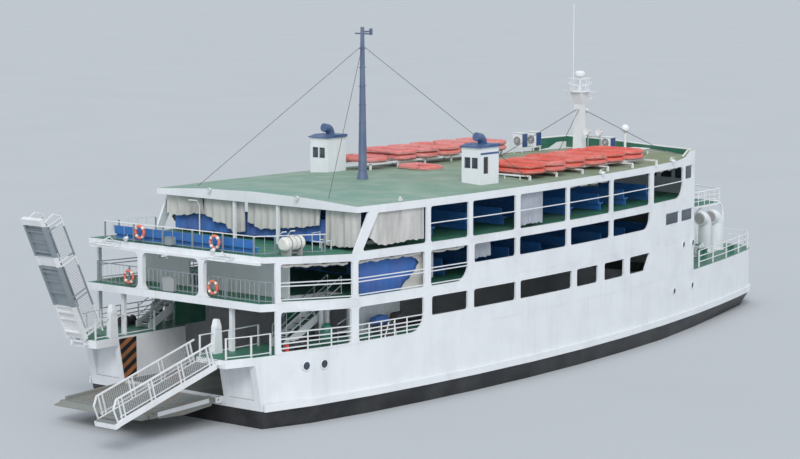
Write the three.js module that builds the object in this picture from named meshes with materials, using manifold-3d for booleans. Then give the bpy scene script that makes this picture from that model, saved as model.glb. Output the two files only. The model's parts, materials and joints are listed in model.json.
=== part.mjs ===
// Roll-on roll-off passenger ferry with open side bays, as a 1:2 scale model.
// Everything below is written in metres of the real ship, +X forward, +Y to port and +Z up.
// x is measured from the frame where the hull is widest and z from the waterline.
// One group at the end turns those metres into millimetres of the model.
import * as THREE from 'three';
import { mergeVertices } from 'three/addons/utils/BufferGeometryUtils.js';
import Module from 'manifold-3d';

const wasm = await Module();
wasm.setup();

// Scale and gap
const MODEL_MM = 500;
const MIDSHIP = 10.5;
const GAP = 0.0006;

// Hull
const BEAM = 14.8;
const PLAN_CURVE = 0.00433;
const TRANSOM = -15.35;
const TRANSOM_RAKE = 0.193;
const NOSE_START = 34.9;
const NOSE = 36.7;
const DRAFT = 2.4;
const STERN_RISE_START = -4;
const STERN_DEPTH = 0.15;
const SIDE_FOOT = 0.85;

// Deck heights
const CAR_DECK = 1.4;
const CASING_TOP = 3.62;
const DECK_TWO = [5.5, 5.88];
const DECK_THREE = [7.85, 8.15];
const ROOF = [10.15, 10.45];
const CAMBER = 0.28;
const SHELL = 0.12;
const FRONT = 24.85;
const FRONT_BULGE = 0.8;
const ROOF_AFT = -9.0;
const DECK_TWO_AFT = -15.0;
const DECK_THREE_AFT = -14.8;
const SHELL_AFT = -14.1;

// Passenger decks rise aft of a knuckle by this much for each metre
const KNUCKLE = -9.4;
const SHEER = 0.0536;

// Stern fittings
const PLATFORM_AFT = -16.8;
const PLATFORM_IN = 3.5;
const PLATFORM_OUT = 5.45;
const PLATFORM_THICK = 0.42;
const RAMP_HINGE = [-15.1, 1.22];
const RAMP_LENGTH = 4.5;
const RAMP_TIP = 0.5;
const RAMP_HALF = 3.15;
const RAMP_REST = -2.75;
const GANG_HINGE = [-16.97, 3.5];
const GANG_LENGTH = 6.85;
const GANG_FLAP = 0.3;
const GANG_WIDTH = 1.3;
const GANG_Y = 4.55;
const GANG_DOWN = -16;
const GANG_UP = 65.6;

const PIN = 0.06;
const PIN_SIDES = 12;
const PIN_BORE = PIN / Math.cos(Math.PI / PIN_SIDES) + 0.0003;
const LUG_GAP = 0.02;
const LUG_WIDTH = 0.1;
const GANG_LUGS = 0.4;

// Rails
const RAIL_HEIGHT = 1.05;
const RAIL_BAR = 0.06;

// Colours
const paint = (color, roughness = 0.5, metalness = 0.1) =>
  new THREE.MeshStandardMaterial({ color, roughness, metalness });
const WHITE = 0xd6dadd;
const GREEN = 0x3b7a5f;
const NAVY = 0x23345c;
const STEEL_BLUE = 0x5c6c86;
const ORANGE = 0xd9543c;
const SEAT_BLUE = 0x2f6fb5;
const BRONZE = 0xa9803c;
const CANVAS = 0xc9c3b4;
const GREY = 0x9aa09e;

const range = (from, to, steps) =>
  Array.from({ length: steps + 1 }, (_, i) => from + ((to - from) * i) / steps);

// Solids from three.js geometry
const closed = (geometry) => new wasm.Manifold(new wasm.Mesh({
  numProp: 3,
  vertProperties: new Float32Array(geometry.attributes.position.array),
  triVerts: new Uint32Array(geometry.index.array),
}));
const solid = (geometry) => {
  geometry.deleteAttribute('normal');
  geometry.deleteAttribute('uv');
  return closed(mergeVertices(geometry, 1e-5));
};

const geometryOf = (manifold) => {
  const mesh = manifold.getMesh();
  const geometry = new THREE.BufferGeometry();
  geometry.setAttribute('position', new THREE.BufferAttribute(mesh.vertProperties, 3));
  geometry.setIndex(new THREE.BufferAttribute(mesh.triVerts, 1));
  return geometry;
};

const join = (parts) => parts.reduce((whole, part) => whole.add(part));
const cut = (whole, parts) => parts.reduce((rest, part) => rest.subtract(part), whole);
const reshaped = (part, change) => {
  const geometry = geometryOf(part);
  change(geometry);
  return closed(geometry);
};

const block = (x0, x1, y0, y1, z0, z1) => {
  const geometry = new THREE.BoxGeometry(x1 - x0, y1 - y0, z1 - z0);
  geometry.translate((x0 + x1) / 2, (y0 + y1) / 2, (z0 + z1) / 2);
  return solid(geometry);
};

const shapeOf = (points) => new THREE.Shape(points.map(([u, v]) => new THREE.Vector2(u, v)));

const extruded = (shape, depth) =>
  new THREE.ExtrudeGeometry(shape, { depth, bevelEnabled: false, curveSegments: 1 });

const prism = (shape, z0, z1) => {
  const geometry = extruded(shape, z1 - z0);
  geometry.translate(0, 0, z0);
  return solid(geometry);
};

// A shape drawn in x and z, pushed through from y0 to y1
const sidePrism = (shape, y0, y1) => {
  const geometry = extruded(shape, y1 - y0);
  geometry.rotateX(Math.PI / 2);
  geometry.translate(0, y1, 0);
  return solid(geometry);
};

// A shape drawn in y and z, pushed through from x0 to x1
const crossPrism = (shape, x0, x1) => {
  const geometry = extruded(shape, x1 - x0);
  geometry.applyMatrix4(new THREE.Matrix4().makeBasis(
    new THREE.Vector3(0, 1, 0), new THREE.Vector3(0, 0, 1), new THREE.Vector3(1, 0, 0)));
  geometry.translate(x0, 0, 0);
  return solid(geometry);
};

const along = (geometry, from, to) => {
  const a = new THREE.Vector3(...from);
  const b = new THREE.Vector3(...to);
  const direction = b.clone().sub(a).normalize();
  geometry.applyQuaternion(new THREE.Quaternion().setFromUnitVectors(new THREE.Vector3(0, 0, 1), direction));
  const middle = a.add(b).multiplyScalar(0.5);
  geometry.translate(middle.x, middle.y, middle.z);
  return solid(geometry);
};

const span = (from, to) => new THREE.Vector3(...from).distanceTo(new THREE.Vector3(...to));
const bar = (from, to, width = RAIL_BAR) =>
  along(new THREE.BoxGeometry(width, width, span(from, to)), from, to);
const rod = (from, to, radius, sides = 12) => {
  const geometry = new THREE.CylinderGeometry(radius, radius, span(from, to), sides);
  geometry.rotateX(Math.PI / 2);
  return along(geometry, from, to);
};

const lathe = (profile, sides, x, y, z) => {
  const geometry = new THREE.LatheGeometry(profile.map(([r, h]) => new THREE.Vector2(r, h)), sides);
  geometry.rotateX(Math.PI / 2);
  geometry.translate(x, y, z);
  return solid(geometry);
};

const mirrored = (part) => reshaped(part, (geometry) => {
  geometry.scale(1, -1, 1);
  geometry.index.array.reverse();
});
const onSide = (side, part) => (side < 0 ? part : mirrored(part));

// A part of a circle as a few chords
const arc = (shape, x, y, radius, from, to, chords) => range(from, to, chords).slice(1).forEach((end, i) =>
  shape.absarc(x, y, radius, from + ((to - from) * i) / chords, end, to < from));

// Bends what lies aft of the knuckle up with the passenger decks
const sheerAt = (x, z) => {
  const share = THREE.MathUtils.clamp((z - CASING_TOP) / (DECK_TWO[0] - CASING_TOP), 0, 1);
  return Math.max(0, KNUCKLE - x) * SHEER * share;
};
const withSheer = (part) => {
  const sternward = block(-20, KNUCKLE, -9, 9, 0, 20);
  const risen = reshaped(part.intersect(sternward), (geometry) => {
    const places = geometry.attributes.position;
    for (let i = 0; i < places.count; i += 1) {
      places.setZ(i, places.getZ(i) + sheerAt(places.getX(i), places.getZ(i)));
    }
  });
  return part.subtract(sternward).add(risen);
};

// A pin's two lugs, reaching aft from what carries them, with the bore for the pin cut through
const hingeLugs = ([x, z], y0, y1, reach, foot, head) => {
  const hole = rod([x, y0 - 1, z], [x, y1 + 1, z], PIN_BORE, PIN_SIDES);
  const lugs = [[y0 - LUG_GAP - LUG_WIDTH, y0 - LUG_GAP], [y1 + LUG_GAP, y1 + LUG_GAP + LUG_WIDTH]];
  return lugs.map(([from, to]) => block(x - 0.13, x + reach, from, to, foot, head).subtract(hole));
};

// Half the beam at each place along the ship
const STERN_PULL = 0.65;
const halfBeam = (x) => {
  const parabola = BEAM / 2 - PLAN_CURVE * x * x;
  if (x < -9) return parabola - STERN_PULL * ((-9 - x) / 8) ** 2;
  if (x <= NOSE_START) return parabola;
  const atStart = BEAM / 2 - PLAN_CURVE * NOSE_START ** 2;
  const slope = 2 * PLAN_CURVE * NOSE_START;
  const part = Math.min(1, (x - NOSE_START) / (NOSE - NOSE_START));
  return (atStart - slope * (x - NOSE_START)) * Math.sqrt(Math.max(0, 1 - part * part));
};

// Strip of side plating between an outer and an inner line
const sideStrip = (xAft, xFore, steps, outerInset, innerInset, z0, z1) => {
  const xs = range(xAft, xFore, steps);
  const outer = xs.map((x) => [x, -(halfBeam(x) - outerInset)]);
  const inner = xs.map((x) => [x, -(halfBeam(x) - innerInset)]).reverse();
  return prism(shapeOf([...outer, ...inner]), z0, z1);
};

// Hull, lofted through stations
const noseXs = [1.1, 0.5, 0.2, 0.05].map((back) => NOSE - back);
const stationXs = [TRANSOM, -12, -8, -4, 0, 5, 10, 15, 20, 25, 29, 32, NOSE_START, ...noseXs];
const bottomAt = (x) => {
  if (x < STERN_RISE_START) {
    return -DRAFT + (DRAFT - STERN_DEPTH) * ((STERN_RISE_START - x) / (STERN_RISE_START - TRANSOM));
  }
  return x > 28 ? -DRAFT + 0.9 * ((x - 28) / (NOSE - 28)) ** 2 : -DRAFT;
};
const transomAt = (z) => TRANSOM + TRANSOM_RAKE * (CASING_TOP - z);
const hullSection = (x) => {
  const half = halfBeam(x);
  const bottom = bottomAt(x);
  const fore = Math.max(0, (x - 22) / (NOSE - 22));
  const flat = 0.86 - 0.42 * fore;
  const water = 0.985 - 0.2 * fore;
  // share of the half beam, height, how far the stem rakes back there
  const levels = [
    [flat, bottom, 1.6],
    [0.97 * (1 - 0.35 * fore), bottom * 0.62 + 0.1, 1.0],
    [water, 0.1, 0.35],
    [1, SIDE_FOOT, 0],
    [1, CASING_TOP, 0],
  ];
  const rows = levels.map(([share, z, rake]) =>
    [x === TRANSOM ? transomAt(z) : x - rake * fore ** 3, half * share, z]);
  const starboard = rows.map(([px, y, z]) => [px, -y, z]).reverse();
  return [...starboard, ...rows];
};
const loft = (rings) => {
  const count = rings[0].length;
  const positions = rings.flat(2);
  const index = [];
  for (let i = 0; i < rings.length - 1; i += 1) {
    for (let j = 0; j < count; j += 1) {
      const a = i * count + j;
      const b = i * count + ((j + 1) % count);
      index.push(a, b, a + count, b, b + count, a + count);
    }
  }
  const last = (rings.length - 1) * count;
  for (let j = 1; j < count - 1; j += 1) {
    index.push(0, j + 1, j);
    index.push(last, last + j, last + j + 1);
  }
  const geometry = new THREE.BufferGeometry();
  geometry.setAttribute('position', new THREE.Float32BufferAttribute(positions, 3));
  geometry.setIndex(index);
  return solid(geometry);
};

// Running gear under the stern
const SHAFT_Y = 2.2;
const SHAFT_Z = -1.7;
const SHAFT_RADIUS = 0.1;
const TUBE_RADIUS = 0.2;
const TUBE_END = -8.3;
const BRACKET_X = -11.1;
const PROP_X = -11.9;
const PROP_RADIUS = 0.7;
const RUDDER_X = -13.1;
const RUDDER_TOP = -0.85;

const wellShape = () => shapeOf([
  [TRANSOM - 1, -PLATFORM_IN], [-10.5, -PLATFORM_IN], [-9, -5.2], [12, -5.2], [21.5, -3.6],
  [21.5, 3.6], [12, 5.2], [-9, 5.2], [-10.5, PLATFORM_IN], [TRANSOM - 1, PLATFORM_IN],
]);

// A shallow recess in the after face of each quarter
const RECESS = { inner: 3.85, outer: 5.55, foot: 1.42, head: 3.19, radius: 0.3, x: -14.85 };
const makeRecess = () => {
  const { inner, outer, foot, head, radius, x } = RECESS;
  const shape = new THREE.Shape();
  shape.moveTo(-inner, foot);
  shape.lineTo(-inner, head);
  shape.lineTo(-outer + radius, head);
  arc(shape, -outer + radius, head - radius, radius, Math.PI / 2, Math.PI, 3);
  shape.lineTo(-outer, foot);
  return crossPrism(shape, TRANSOM - 1, x);
};

const makeHull = () => {
  const skeg = sidePrism(shapeOf([[-4.5, -DRAFT], [-4.5, -2.0], [-10.5, -0.8], [-10.5, -1.5], [-8, -DRAFT]]),
    -0.25, 0.25);
  const tubes = [-1, 1].map((side) =>
    rod([TUBE_END, side * SHAFT_Y, SHAFT_Z], [-5.5, side * SHAFT_Y, SHAFT_Z], TUBE_RADIUS));
  const bosses = [-1, 1].map((side) =>
    rod([RUDDER_X, side * SHAFT_Y, RUDDER_TOP], [RUDDER_X, side * SHAFT_Y, -0.2], 0.18));
  const lugs = hingeLugs(RAMP_HINGE, -RAMP_HALF - 0.05, RAMP_HALF + 0.05, 0.4, 1.06, 1.36);
  const recesses = [-1, 1].map((side) => onSide(side, makeRecess()));
  const body = join([loft(stationXs.map(hullSection)), skeg, ...tubes, ...bosses, ...lugs]);
  return cut(body, [prism(wellShape(), CAR_DECK, CASING_TOP + 1), ...recesses]);
};

const STRAKE = [0.9, 1.25];
const STRAKE_THICK = 0.13;
const makeStrake = () => {
  const line = (grow) => {
    const starboard = stationXs.map((x, i) =>
      [x + (i === stationXs.length - 1 ? grow : 0), -(halfBeam(x) + grow)]);
    return [...starboard, ...starboard.map(([x, y]) => [x, -y]).reverse()];
  };
  const outer = prism(shapeOf(line(STRAKE_THICK)), ...STRAKE);
  const hollow = prism(shapeOf(line(GAP)), STRAKE[0] - 1, STRAKE[1] + 1);
  const openStern = block(TRANSOM - 1, transomAt(STRAKE[0]) + 0.01, -8, 8, 0, 2);
  return cut(outer, [hollow, openStern]);
};

// Side plating, one row for each deck
// each opening: aft edge, fore edge, foot, head, corner radius, radii of the lower and the upper fore corner,
// lean of the aft edge and of the fore edge
const LOWER_OPENINGS = [
  [-13.82, -9.39, 3.7, 5.44, 0.15, 0.15, 0.15, 0, 0],
  [-8.91, -4.16, 3.7, 5.44, 0.15, 0.9, 0.15, 0, 0],
  [-3.55, -0.66, 4.42, 5.4, 0.12, 0.12, 0.12, 0, 0],
  [-0.16, 3.52, 4.42, 5.4, 0.12, 0.12, 0.12, 0, 0],
  [3.93, 8.97, 4.42, 5.4, 0.12, 0.12, 0.12, 0, 0],
  [9.49, 11.78, 4.42, 5.4, 0.12, 0.12, 0.12, 0, 0],
  [12.51, 14.81, 4.42, 5.4, 0.12, 0.12, 0.12, 0, 0],
  [15.53, 18.03, 4.42, 5.4, 0.12, 0.12, 0.12, 0, 0.55],
];
const MIDDLE_OPENINGS = [
  [-13.82, -9.32, 5.95, 7.78, 0.12, 0.12, 0.12, 0, 0],
  [-8.94, -4.09, 5.95, 7.78, 0.12, 0.12, 0.12, 0, 0],
  [-3.63, -0.62, 5.95, 7.78, 0.12, 0.9, 0.12, 0, 0],
  [-0.13, 3.5, 6.8, 7.78, 0.12, 0.12, 0.12, 0, 0],
  [3.86, 8.42, 6.8, 7.78, 0.12, 0.12, 0.12, 0, 0],
  [8.82, 13.1, 6.8, 7.78, 0.12, 0.12, 0.12, 0, 0],
  [13.49, 18.04, 6.8, 7.78, 0.12, 0.7, 0.12, 0, 0],
  [20.22, 22.11, 6.7, 7.45, 0.1, 0.1, 0.1, 0, 0],
  [22.48, 24.2, 6.7, 7.45, 0.1, 0.1, 0.1, 0, 0],
];
const UPPER_OPENINGS = [
  [-8.6, -3.94, 8.2, 10.05, 0.12, 0.12, 0.12, 1.0, 0],
  [-3.64, -0.6, 8.2, 10.05, 0.12, 0.12, 0.12, 0, 0],
  [-0.26, 3.48, 8.2, 10.05, 0.12, 0.12, 0.12, 0, 0],
  [3.89, 8.39, 8.2, 10.05, 0.12, 0.12, 0.12, 0, 0],
  [8.69, 13.12, 8.2, 10.05, 0.12, 0.12, 0.12, 0, 0],
  [13.46, 17.99, 8.2, 10.05, 0.12, 0.12, 0.12, 0, 0],
  [18.51, 22.64, 8.2, 10.05, 0.12, 0.9, 0.35, 0, 0],
  [23.0, 24.09, 9.2, 10.05, 0.1, 0.1, 0.1, 0, 0],
];
const LOWER_BARS = [3.86, 4.07, 4.27, 4.54];
const MIDDLE_BARS = [6.05, 6.7, 6.87];
const UPPER_BARS = [9.17];
const LOWER_POSTS = [-12.19, -10.71, -8.15, -7.28, -6.31, -5.4];
const BAY_BAR = 0.05;

const LARGE_CORNER = 0.3;
const openingShape = ([x0, x1, z0, z1, radius, footRadius, headRadius, aftLean, foreLean]) => {
  const chords = (r) => (r > LARGE_CORNER ? 3 : 1);
  const foot = x1 - foreLean - footRadius;
  const shape = new THREE.Shape();
  shape.moveTo(x0 + radius, z0);
  shape.lineTo(foot, z0);
  arc(shape, foot, z0 + footRadius, footRadius, -Math.PI / 2, 0, chords(footRadius));
  shape.lineTo(x1, z1 - headRadius);
  arc(shape, x1 - headRadius, z1 - headRadius, headRadius, 0, Math.PI / 2, chords(headRadius));
  shape.lineTo(x0 + aftLean + radius, z1);
  arc(shape, x0 + aftLean + radius, z1 - radius, radius, Math.PI / 2, Math.PI, 1);
  shape.lineTo(x0, z0 + radius);
  arc(shape, x0 + radius, z0 + radius, radius, Math.PI, 1.5 * Math.PI, 1);
  return shape;
};

const inPlating = (x, z) => [x, -(halfBeam(x) - SHELL / 2), z];
const bayBars = (openings, heights) => openings.flatMap(([x0, x1]) =>
  heights.map((z) => bar(inPlating(x0 - 0.1, z), inPlating(x1 + 0.1, z), BAY_BAR)));
const bayPosts = (xs, foot, head) => xs.map((x) => bar(inPlating(x, foot), inPlating(x, head), BAY_BAR));

const makeShell = (xAft, z0, z1, openings, [first, last], heights, posts = []) => {
  const plate = sideStrip(xAft, FRONT - 0.42, 14, 0, SHELL, z0 + GAP, z1 - GAP);
  const holes = openings.map((opening) => sidePrism(openingShape(opening), -9, -3));
  const bars = bayBars(openings.slice(first, last), heights);
  return join([cut(plate, holes), ...bars, ...bayPosts(posts, z0 + 0.05, Math.max(...heights))]);
};

// The upper row starts at a leaning post under the roof's aft edge
const makeUpperShell = () => {
  const shell = makeShell(-9.4, DECK_THREE[1], ROOF[0], UPPER_OPENINGS, [1, 7], UPPER_BARS);
  const lean = sidePrism(shapeOf([[-10, 8], [-9.35, 8], [-8.1, 10.3], [-10, 10.3]]), -9, -3);
  return shell.subtract(lean);
};

// Decks and roof
const frontLine = (inset) => range(-1, 1, 8).map((part) => {
  const half = halfBeam(FRONT - 0.4) - inset;
  const y = part * half;
  return [FRONT - 0.4 + FRONT_BULGE * (1 - part * part) - inset, y];
});
const deckOutline = (xAft, inset) => {
  const xs = range(xAft, FRONT - 0.4, 14);
  const starboard = xs.map((x) => [x, -(halfBeam(x) - inset)]);
  const port = xs.map((x) => [x, halfBeam(x) - inset]).reverse();
  return [...starboard, ...frontLine(SHELL + GAP).slice(1, -1), ...port];
};

// Foot, head and place off the centreline of each flight of stairs, and where its well begins
const LOWER_STAIR = { foot: -12.4, head: -8.1, y: -4.75, well: -11.6 };
const UPPER_STAIR = { foot: -6.1, head: -2.4, y: -4.75, well: -6.0 };
const STAIR_HALF = 0.5;
const stairWell = (side, { head, y, well }, [z0, z1]) =>
  onSide(side, block(well, head + GAP, y - STAIR_HALF - 0.06, y + STAIR_HALF + 0.06, z0 - 0.1, z1 + 0.1));

const makeDeckTwo = () => {
  const plate = prism(shapeOf(deckOutline(DECK_TWO_AFT, 0)), ...DECK_TWO);
  const pillars = [-1, 1].flatMap((side) => [[-14.6, 3.8], [-9.6, 5.5]].map(([x, y]) =>
    block(x - 0.1, x + 0.1, side * y - 0.1, side * y + 0.1, CASING_TOP + GAP, DECK_TWO[0] + 0.05)));
  const wells = [-1, 1].map((side) => stairWell(side, LOWER_STAIR, DECK_TWO));
  return withSheer(join([cut(plate, wells), ...pillars]));
};

const makeDeckThree = () => {
  const plate = prism(shapeOf(deckOutline(DECK_THREE_AFT, 0)), ...DECK_THREE);
  return withSheer(cut(plate, [-1, 1].map((side) => stairWell(side, UPPER_STAIR, DECK_THREE))));
};

// Two posts with rounded feet and heads that carry the after edge of deck three
const FRAME = { aft: -14.98, fore: -14.74, reach: 5.9, beam: 0.12, post: 0.17, radius: 0.3 };
const FRAME_POSTS = [-2.06, 2.2];
const makeAftFrame = () => {
  const { aft, fore, reach, beam, post, radius } = FRAME;
  const [foot, head] = [DECK_TWO[1] + GAP, DECK_THREE[0] - GAP];
  const under = head - beam;
  const posts = FRAME_POSTS.map((y) => {
    const [left, right] = [y - post - radius, y + post + radius];
    const shape = new THREE.Shape();
    shape.moveTo(left, foot);
    arc(shape, left, foot + radius, radius, -Math.PI / 2, 0, 3);
    arc(shape, left, under - radius, radius, 0, Math.PI / 2, 3);
    shape.lineTo(right, under);
    arc(shape, right, under - radius, radius, Math.PI / 2, Math.PI, 3);
    arc(shape, right, foot + radius, radius, Math.PI, 1.5 * Math.PI, 3);
    return crossPrism(shape, aft, fore);
  });
  return withSheer(join([block(aft, fore, -reach, reach, under, head), ...posts]));
};

const WING_HEIGHT = 0.45;
const makeRoof = () => {
  const xs = [...range(ROOF_AFT, FRONT - 0.4, 12)];
  const ring = (x, half) => {
    const shares = [-1, -0.5, 0, 0.5, 1];
    const top = shares.map((share) => [x, share * half, ROOF[1] + CAMBER * (1 - share * share)]);
    return [[x, -half, ROOF[0]], [x, half, ROOF[0]], ...top.reverse()];
  };
  const body = loft(xs.map((x) => ring(x, halfBeam(x))));
  const nose = prism(shapeOf([...frontLine(SHELL + GAP)]), ROOF[0], ROOF[1] + 0.1);
  const wings = [-1, 1].map((side) => onSide(side, sidePrism(shapeOf([
    [21.8, ROOF[1] - 0.1], [FRONT - 0.4, ROOF[1] - 0.1], [FRONT - 0.4, ROOF[1] + WING_HEIGHT],
    [23.6, ROOF[1] + WING_HEIGHT], [22.9, ROOF[1] + 0.12], [21.8, ROOF[1]],
  ]), -9, -2).intersect(sideStrip(21, 25, 4, 0, SHELL, 10, 12))));
  const pillars = [-1, 1].map((side) => onSide(side,
    block(-8.9, -8.75, -1.6, -1.45, DECK_THREE[1] + GAP, ROOF[0] + 0.05)));
  return join([body, nose, ...wings, ...pillars]);
};

// Curved front plating with its windows
const makeFrontWall = () => {
  const line = (x0, inset) => range(-1, 1, 12).map((part) => {
    const half = halfBeam(FRONT - 0.4) - inset;
    return [x0 + FRONT_BULGE * (1 - part * part), part * half];
  });
  const x0 = FRONT - 0.4 + GAP;
  const outer = [[x0, -halfBeam(x0)], ...line(x0 + 0.05, 0).slice(1, -1), [x0, halfBeam(x0)]];
  const inner = line(x0, 0).slice(1, -1).map(([x, y]) => [x - SHELL + 0.05, y]).reverse();
  const plate = prism(shapeOf([...outer, ...inner]), CASING_TOP + GAP, ROOF[1] + WING_HEIGHT);
  const holes = range(-3.6, 3.6, 6).map((y) =>
    crossPrism(shapeOf([[y - 0.42, 9.05], [y + 0.42, 9.05], [y + 0.42, 9.95], [y - 0.42, 9.95]]), 23, 27));
  const lower = range(-3.2, 3.2, 4).map((y) =>
    crossPrism(shapeOf([[y - 0.4, 6.75], [y + 0.4, 6.75], [y + 0.4, 7.45], [y - 0.4, 7.45]]), 23, 27));
  return cut(plate, [...holes, ...lower]);
};

// Bulkheads across the passenger decks
const BULKHEAD_X = -12.05;
const BULKHEAD_HALF = 5.2;
const DOOR = { y: 1.3, half: 0.35, head: 7.16 };
const PORTLIGHT = { y: 3.5, half: 0.3, foot: 7.16, head: 7.46 };
const makeBulkhead = () => {
  const plate = block(BULKHEAD_X, BULKHEAD_X + 0.1, -BULKHEAD_HALF, BULKHEAD_HALF, DECK_TWO[1] + GAP,
    DECK_THREE[0] - GAP);
  const door = block(-13, -11, DOOR.y - DOOR.half, DOOR.y + DOOR.half, DECK_TWO[1] + 0.1, DOOR.head);
  const light = block(-13, -11, PORTLIGHT.y - PORTLIGHT.half, PORTLIGHT.y + PORTLIGHT.half, PORTLIGHT.foot,
    PORTLIGHT.head);
  return withSheer(cut(plate, [door, light]));
};

// Stairs, one flight for each deck and side
const STEPS = 9;
const makeStair = (zFoot, zHead, { foot, head, y }) => {
  const web = shapeOf([[foot, zFoot], [foot + 0.35, zFoot], [head, zHead - 0.3], [head, zHead],
    [head - 0.1, zHead], [foot, zFoot + 0.3]]);
  const stringer = (ys) => sidePrism(web, ys - 0.04, ys + 0.04);
  const tread = (0.7 * (head - foot)) / STEPS / 2;
  const treads = range(0.5, STEPS - 0.5, STEPS - 1).map((i) => {
    const x = foot + 0.1 + ((head - foot - 0.1) * i) / STEPS;
    const z = zFoot + 0.1 + ((zHead - zFoot - 0.1) * i) / STEPS;
    return block(x - tread, x + tread, y - STAIR_HALF + 0.05, y + STAIR_HALF - 0.05, z - 0.04, z);
  });
  return join([stringer(y - STAIR_HALF + 0.04), stringer(y + STAIR_HALF - 0.04), ...treads]);
};

// A thin band along a line in plan, mitred at its corners
const ribbon = (points, width) => {
  const at = points.map(([x, y]) => new THREE.Vector2(x, y));
  const normals = at.slice(1).map((point, i) => {
    const run = point.clone().sub(at[i]).normalize();
    return new THREE.Vector2(-run.y, run.x);
  });
  const shift = at.map((_, i) => {
    const before = normals[Math.max(0, i - 1)];
    const after = normals[Math.min(normals.length - 1, i)];
    const mitre = before.clone().add(after).normalize();
    return mitre.multiplyScalar(width / 2 / mitre.dot(after));
  });
  const left = at.map((point, i) => point.clone().add(shift[i]));
  const right = at.map((point, i) => point.clone().sub(shift[i])).reverse();
  return new THREE.Shape([...right.reverse(), ...left.reverse()]);
};

// Rails: posts and bars joined to each other, the bars at these shares of the height
const TWO_BARS = [0.12, 1];
const THREE_BARS = [1 / 3, 2 / 3, 1];
const railRun = (points, base, height = RAIL_HEIGHT, shares = TWO_BARS) => {
  const step = 2.1;
  const posts = points.flatMap(([x, y], i) => {
    const [nextX, nextY] = points[i + 1] ?? [x, y];
    const count = Math.max(1, Math.round(Math.hypot(nextX - x, nextY - y) / step));
    return range(0, 1, count).slice(0, -1).map((part) => [x + (nextX - x) * part, y + (nextY - y) * part]);
  });
  const half = 0.035;
  return join([
    ...posts.map(([x, y]) => block(x - half, x + half, y - half, y + half, base + GAP, base + height)),
    ...shares.map((share) =>
      prism(ribbon(points, 0.045), base + share * height - 0.045, base + share * height)),
  ]);
};

// Stern platforms over the quarters, fitted to the raked transom
const makePlatform = () => {
  const root = TRANSOM + 0.3;
  const points = [[PLATFORM_AFT, -PLATFORM_IN], [PLATFORM_AFT, -PLATFORM_OUT], [root, -halfBeam(TRANSOM)],
    [root, -PLATFORM_IN]];
  const plate = prism(shapeOf(points), CASING_TOP - PLATFORM_THICK, CASING_TOP);
  const lugs = hingeLugs(GANG_HINGE, -GANG_Y - GANG_LUGS, -GANG_Y + GANG_LUGS, 0.3, 3.36, 3.61);
  const quarterSide = shapeOf([[transomAt(3) - GAP, 3], [-12, 3], [-12, 4], [transomAt(4) - GAP, 4]]);
  const quarter = sidePrism(quarterSide, -7, -3);
  return cut(join([plate, ...lugs]), [quarter]);
};

// Hoist post with the rail along the platform's inner edge
const HOIST = { x: -15.55, y: -3.66, half: 0.28, thick: 0.14, shoulder: 4.95, top: 5.3, sheave: 0.16 };
const makeHoistPost = () => {
  const { x, y, half, thick, shoulder, top, sheave } = HOIST;
  const base = CASING_TOP + GAP;
  const casing = sidePrism(shapeOf([[x - half, base], [x + half, base], [x + half * 0.75, shoulder],
    [x + 0.08, top], [x - 0.08, top], [x - half * 0.75, shoulder]]), y - thick, y + thick);
  const wheel = rod([x, y - thick - 0.03, shoulder], [x, y + thick + 0.03, shoulder], sheave);
  const rail = railRun([[PLATFORM_AFT + 0.1, y], [-12.6, y]], CASING_TOP);
  return join([casing, wheel, rail]);
};

// Vehicle ramp, drawn flat aft of its hinge
const makeRamp = () => {
  const deck = block(-RAMP_LENGTH, -0.08, -RAMP_HALF, RAMP_HALF, -0.12, 0.06);
  const end = -RAMP_LENGTH - RAMP_TIP;
  const tip = sidePrism(shapeOf([[end, -0.1], [-RAMP_LENGTH + 0.05, -0.12], [-RAMP_LENGTH + 0.05, 0.06],
    [end, -0.06]]), -RAMP_HALF + 0.1, RAMP_HALF - 0.1);
  const webEnd = -RAMP_LENGTH + 0.6;
  const web = [[webEnd, -0.1], [webEnd, -0.2], [-2.2, -0.34], [-0.3, -0.26], [-0.3, -0.1]];
  const girders = range(-RAMP_HALF + 0.1, RAMP_HALF - 0.1, 4).map((y) =>
    sidePrism(shapeOf(web), y - 0.08, y + 0.08));
  const curbs = [-1, 1].map((side) => block(-RAMP_LENGTH + 0.3, -0.3, side * (RAMP_HALF - 0.12) - 0.08,
    side * (RAMP_HALF - 0.12) + 0.08, 0.05, 0.2));
  const pinEnd = RAMP_HALF + 0.05 + LUG_GAP + LUG_WIDTH;
  const pin = rod([0, -pinEnd, 0], [0, pinEnd, 0], PIN, PIN_SIDES);
  const eyes = range(-RAMP_HALF + 0.4, RAMP_HALF - 0.4, 4).map((y) =>
    block(-0.3, 0.0, y - 0.1, y + 0.1, -0.1, 0.06));
  return join([deck, tip, ...girders, ...curbs, pin, ...eyes]);
};

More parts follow.
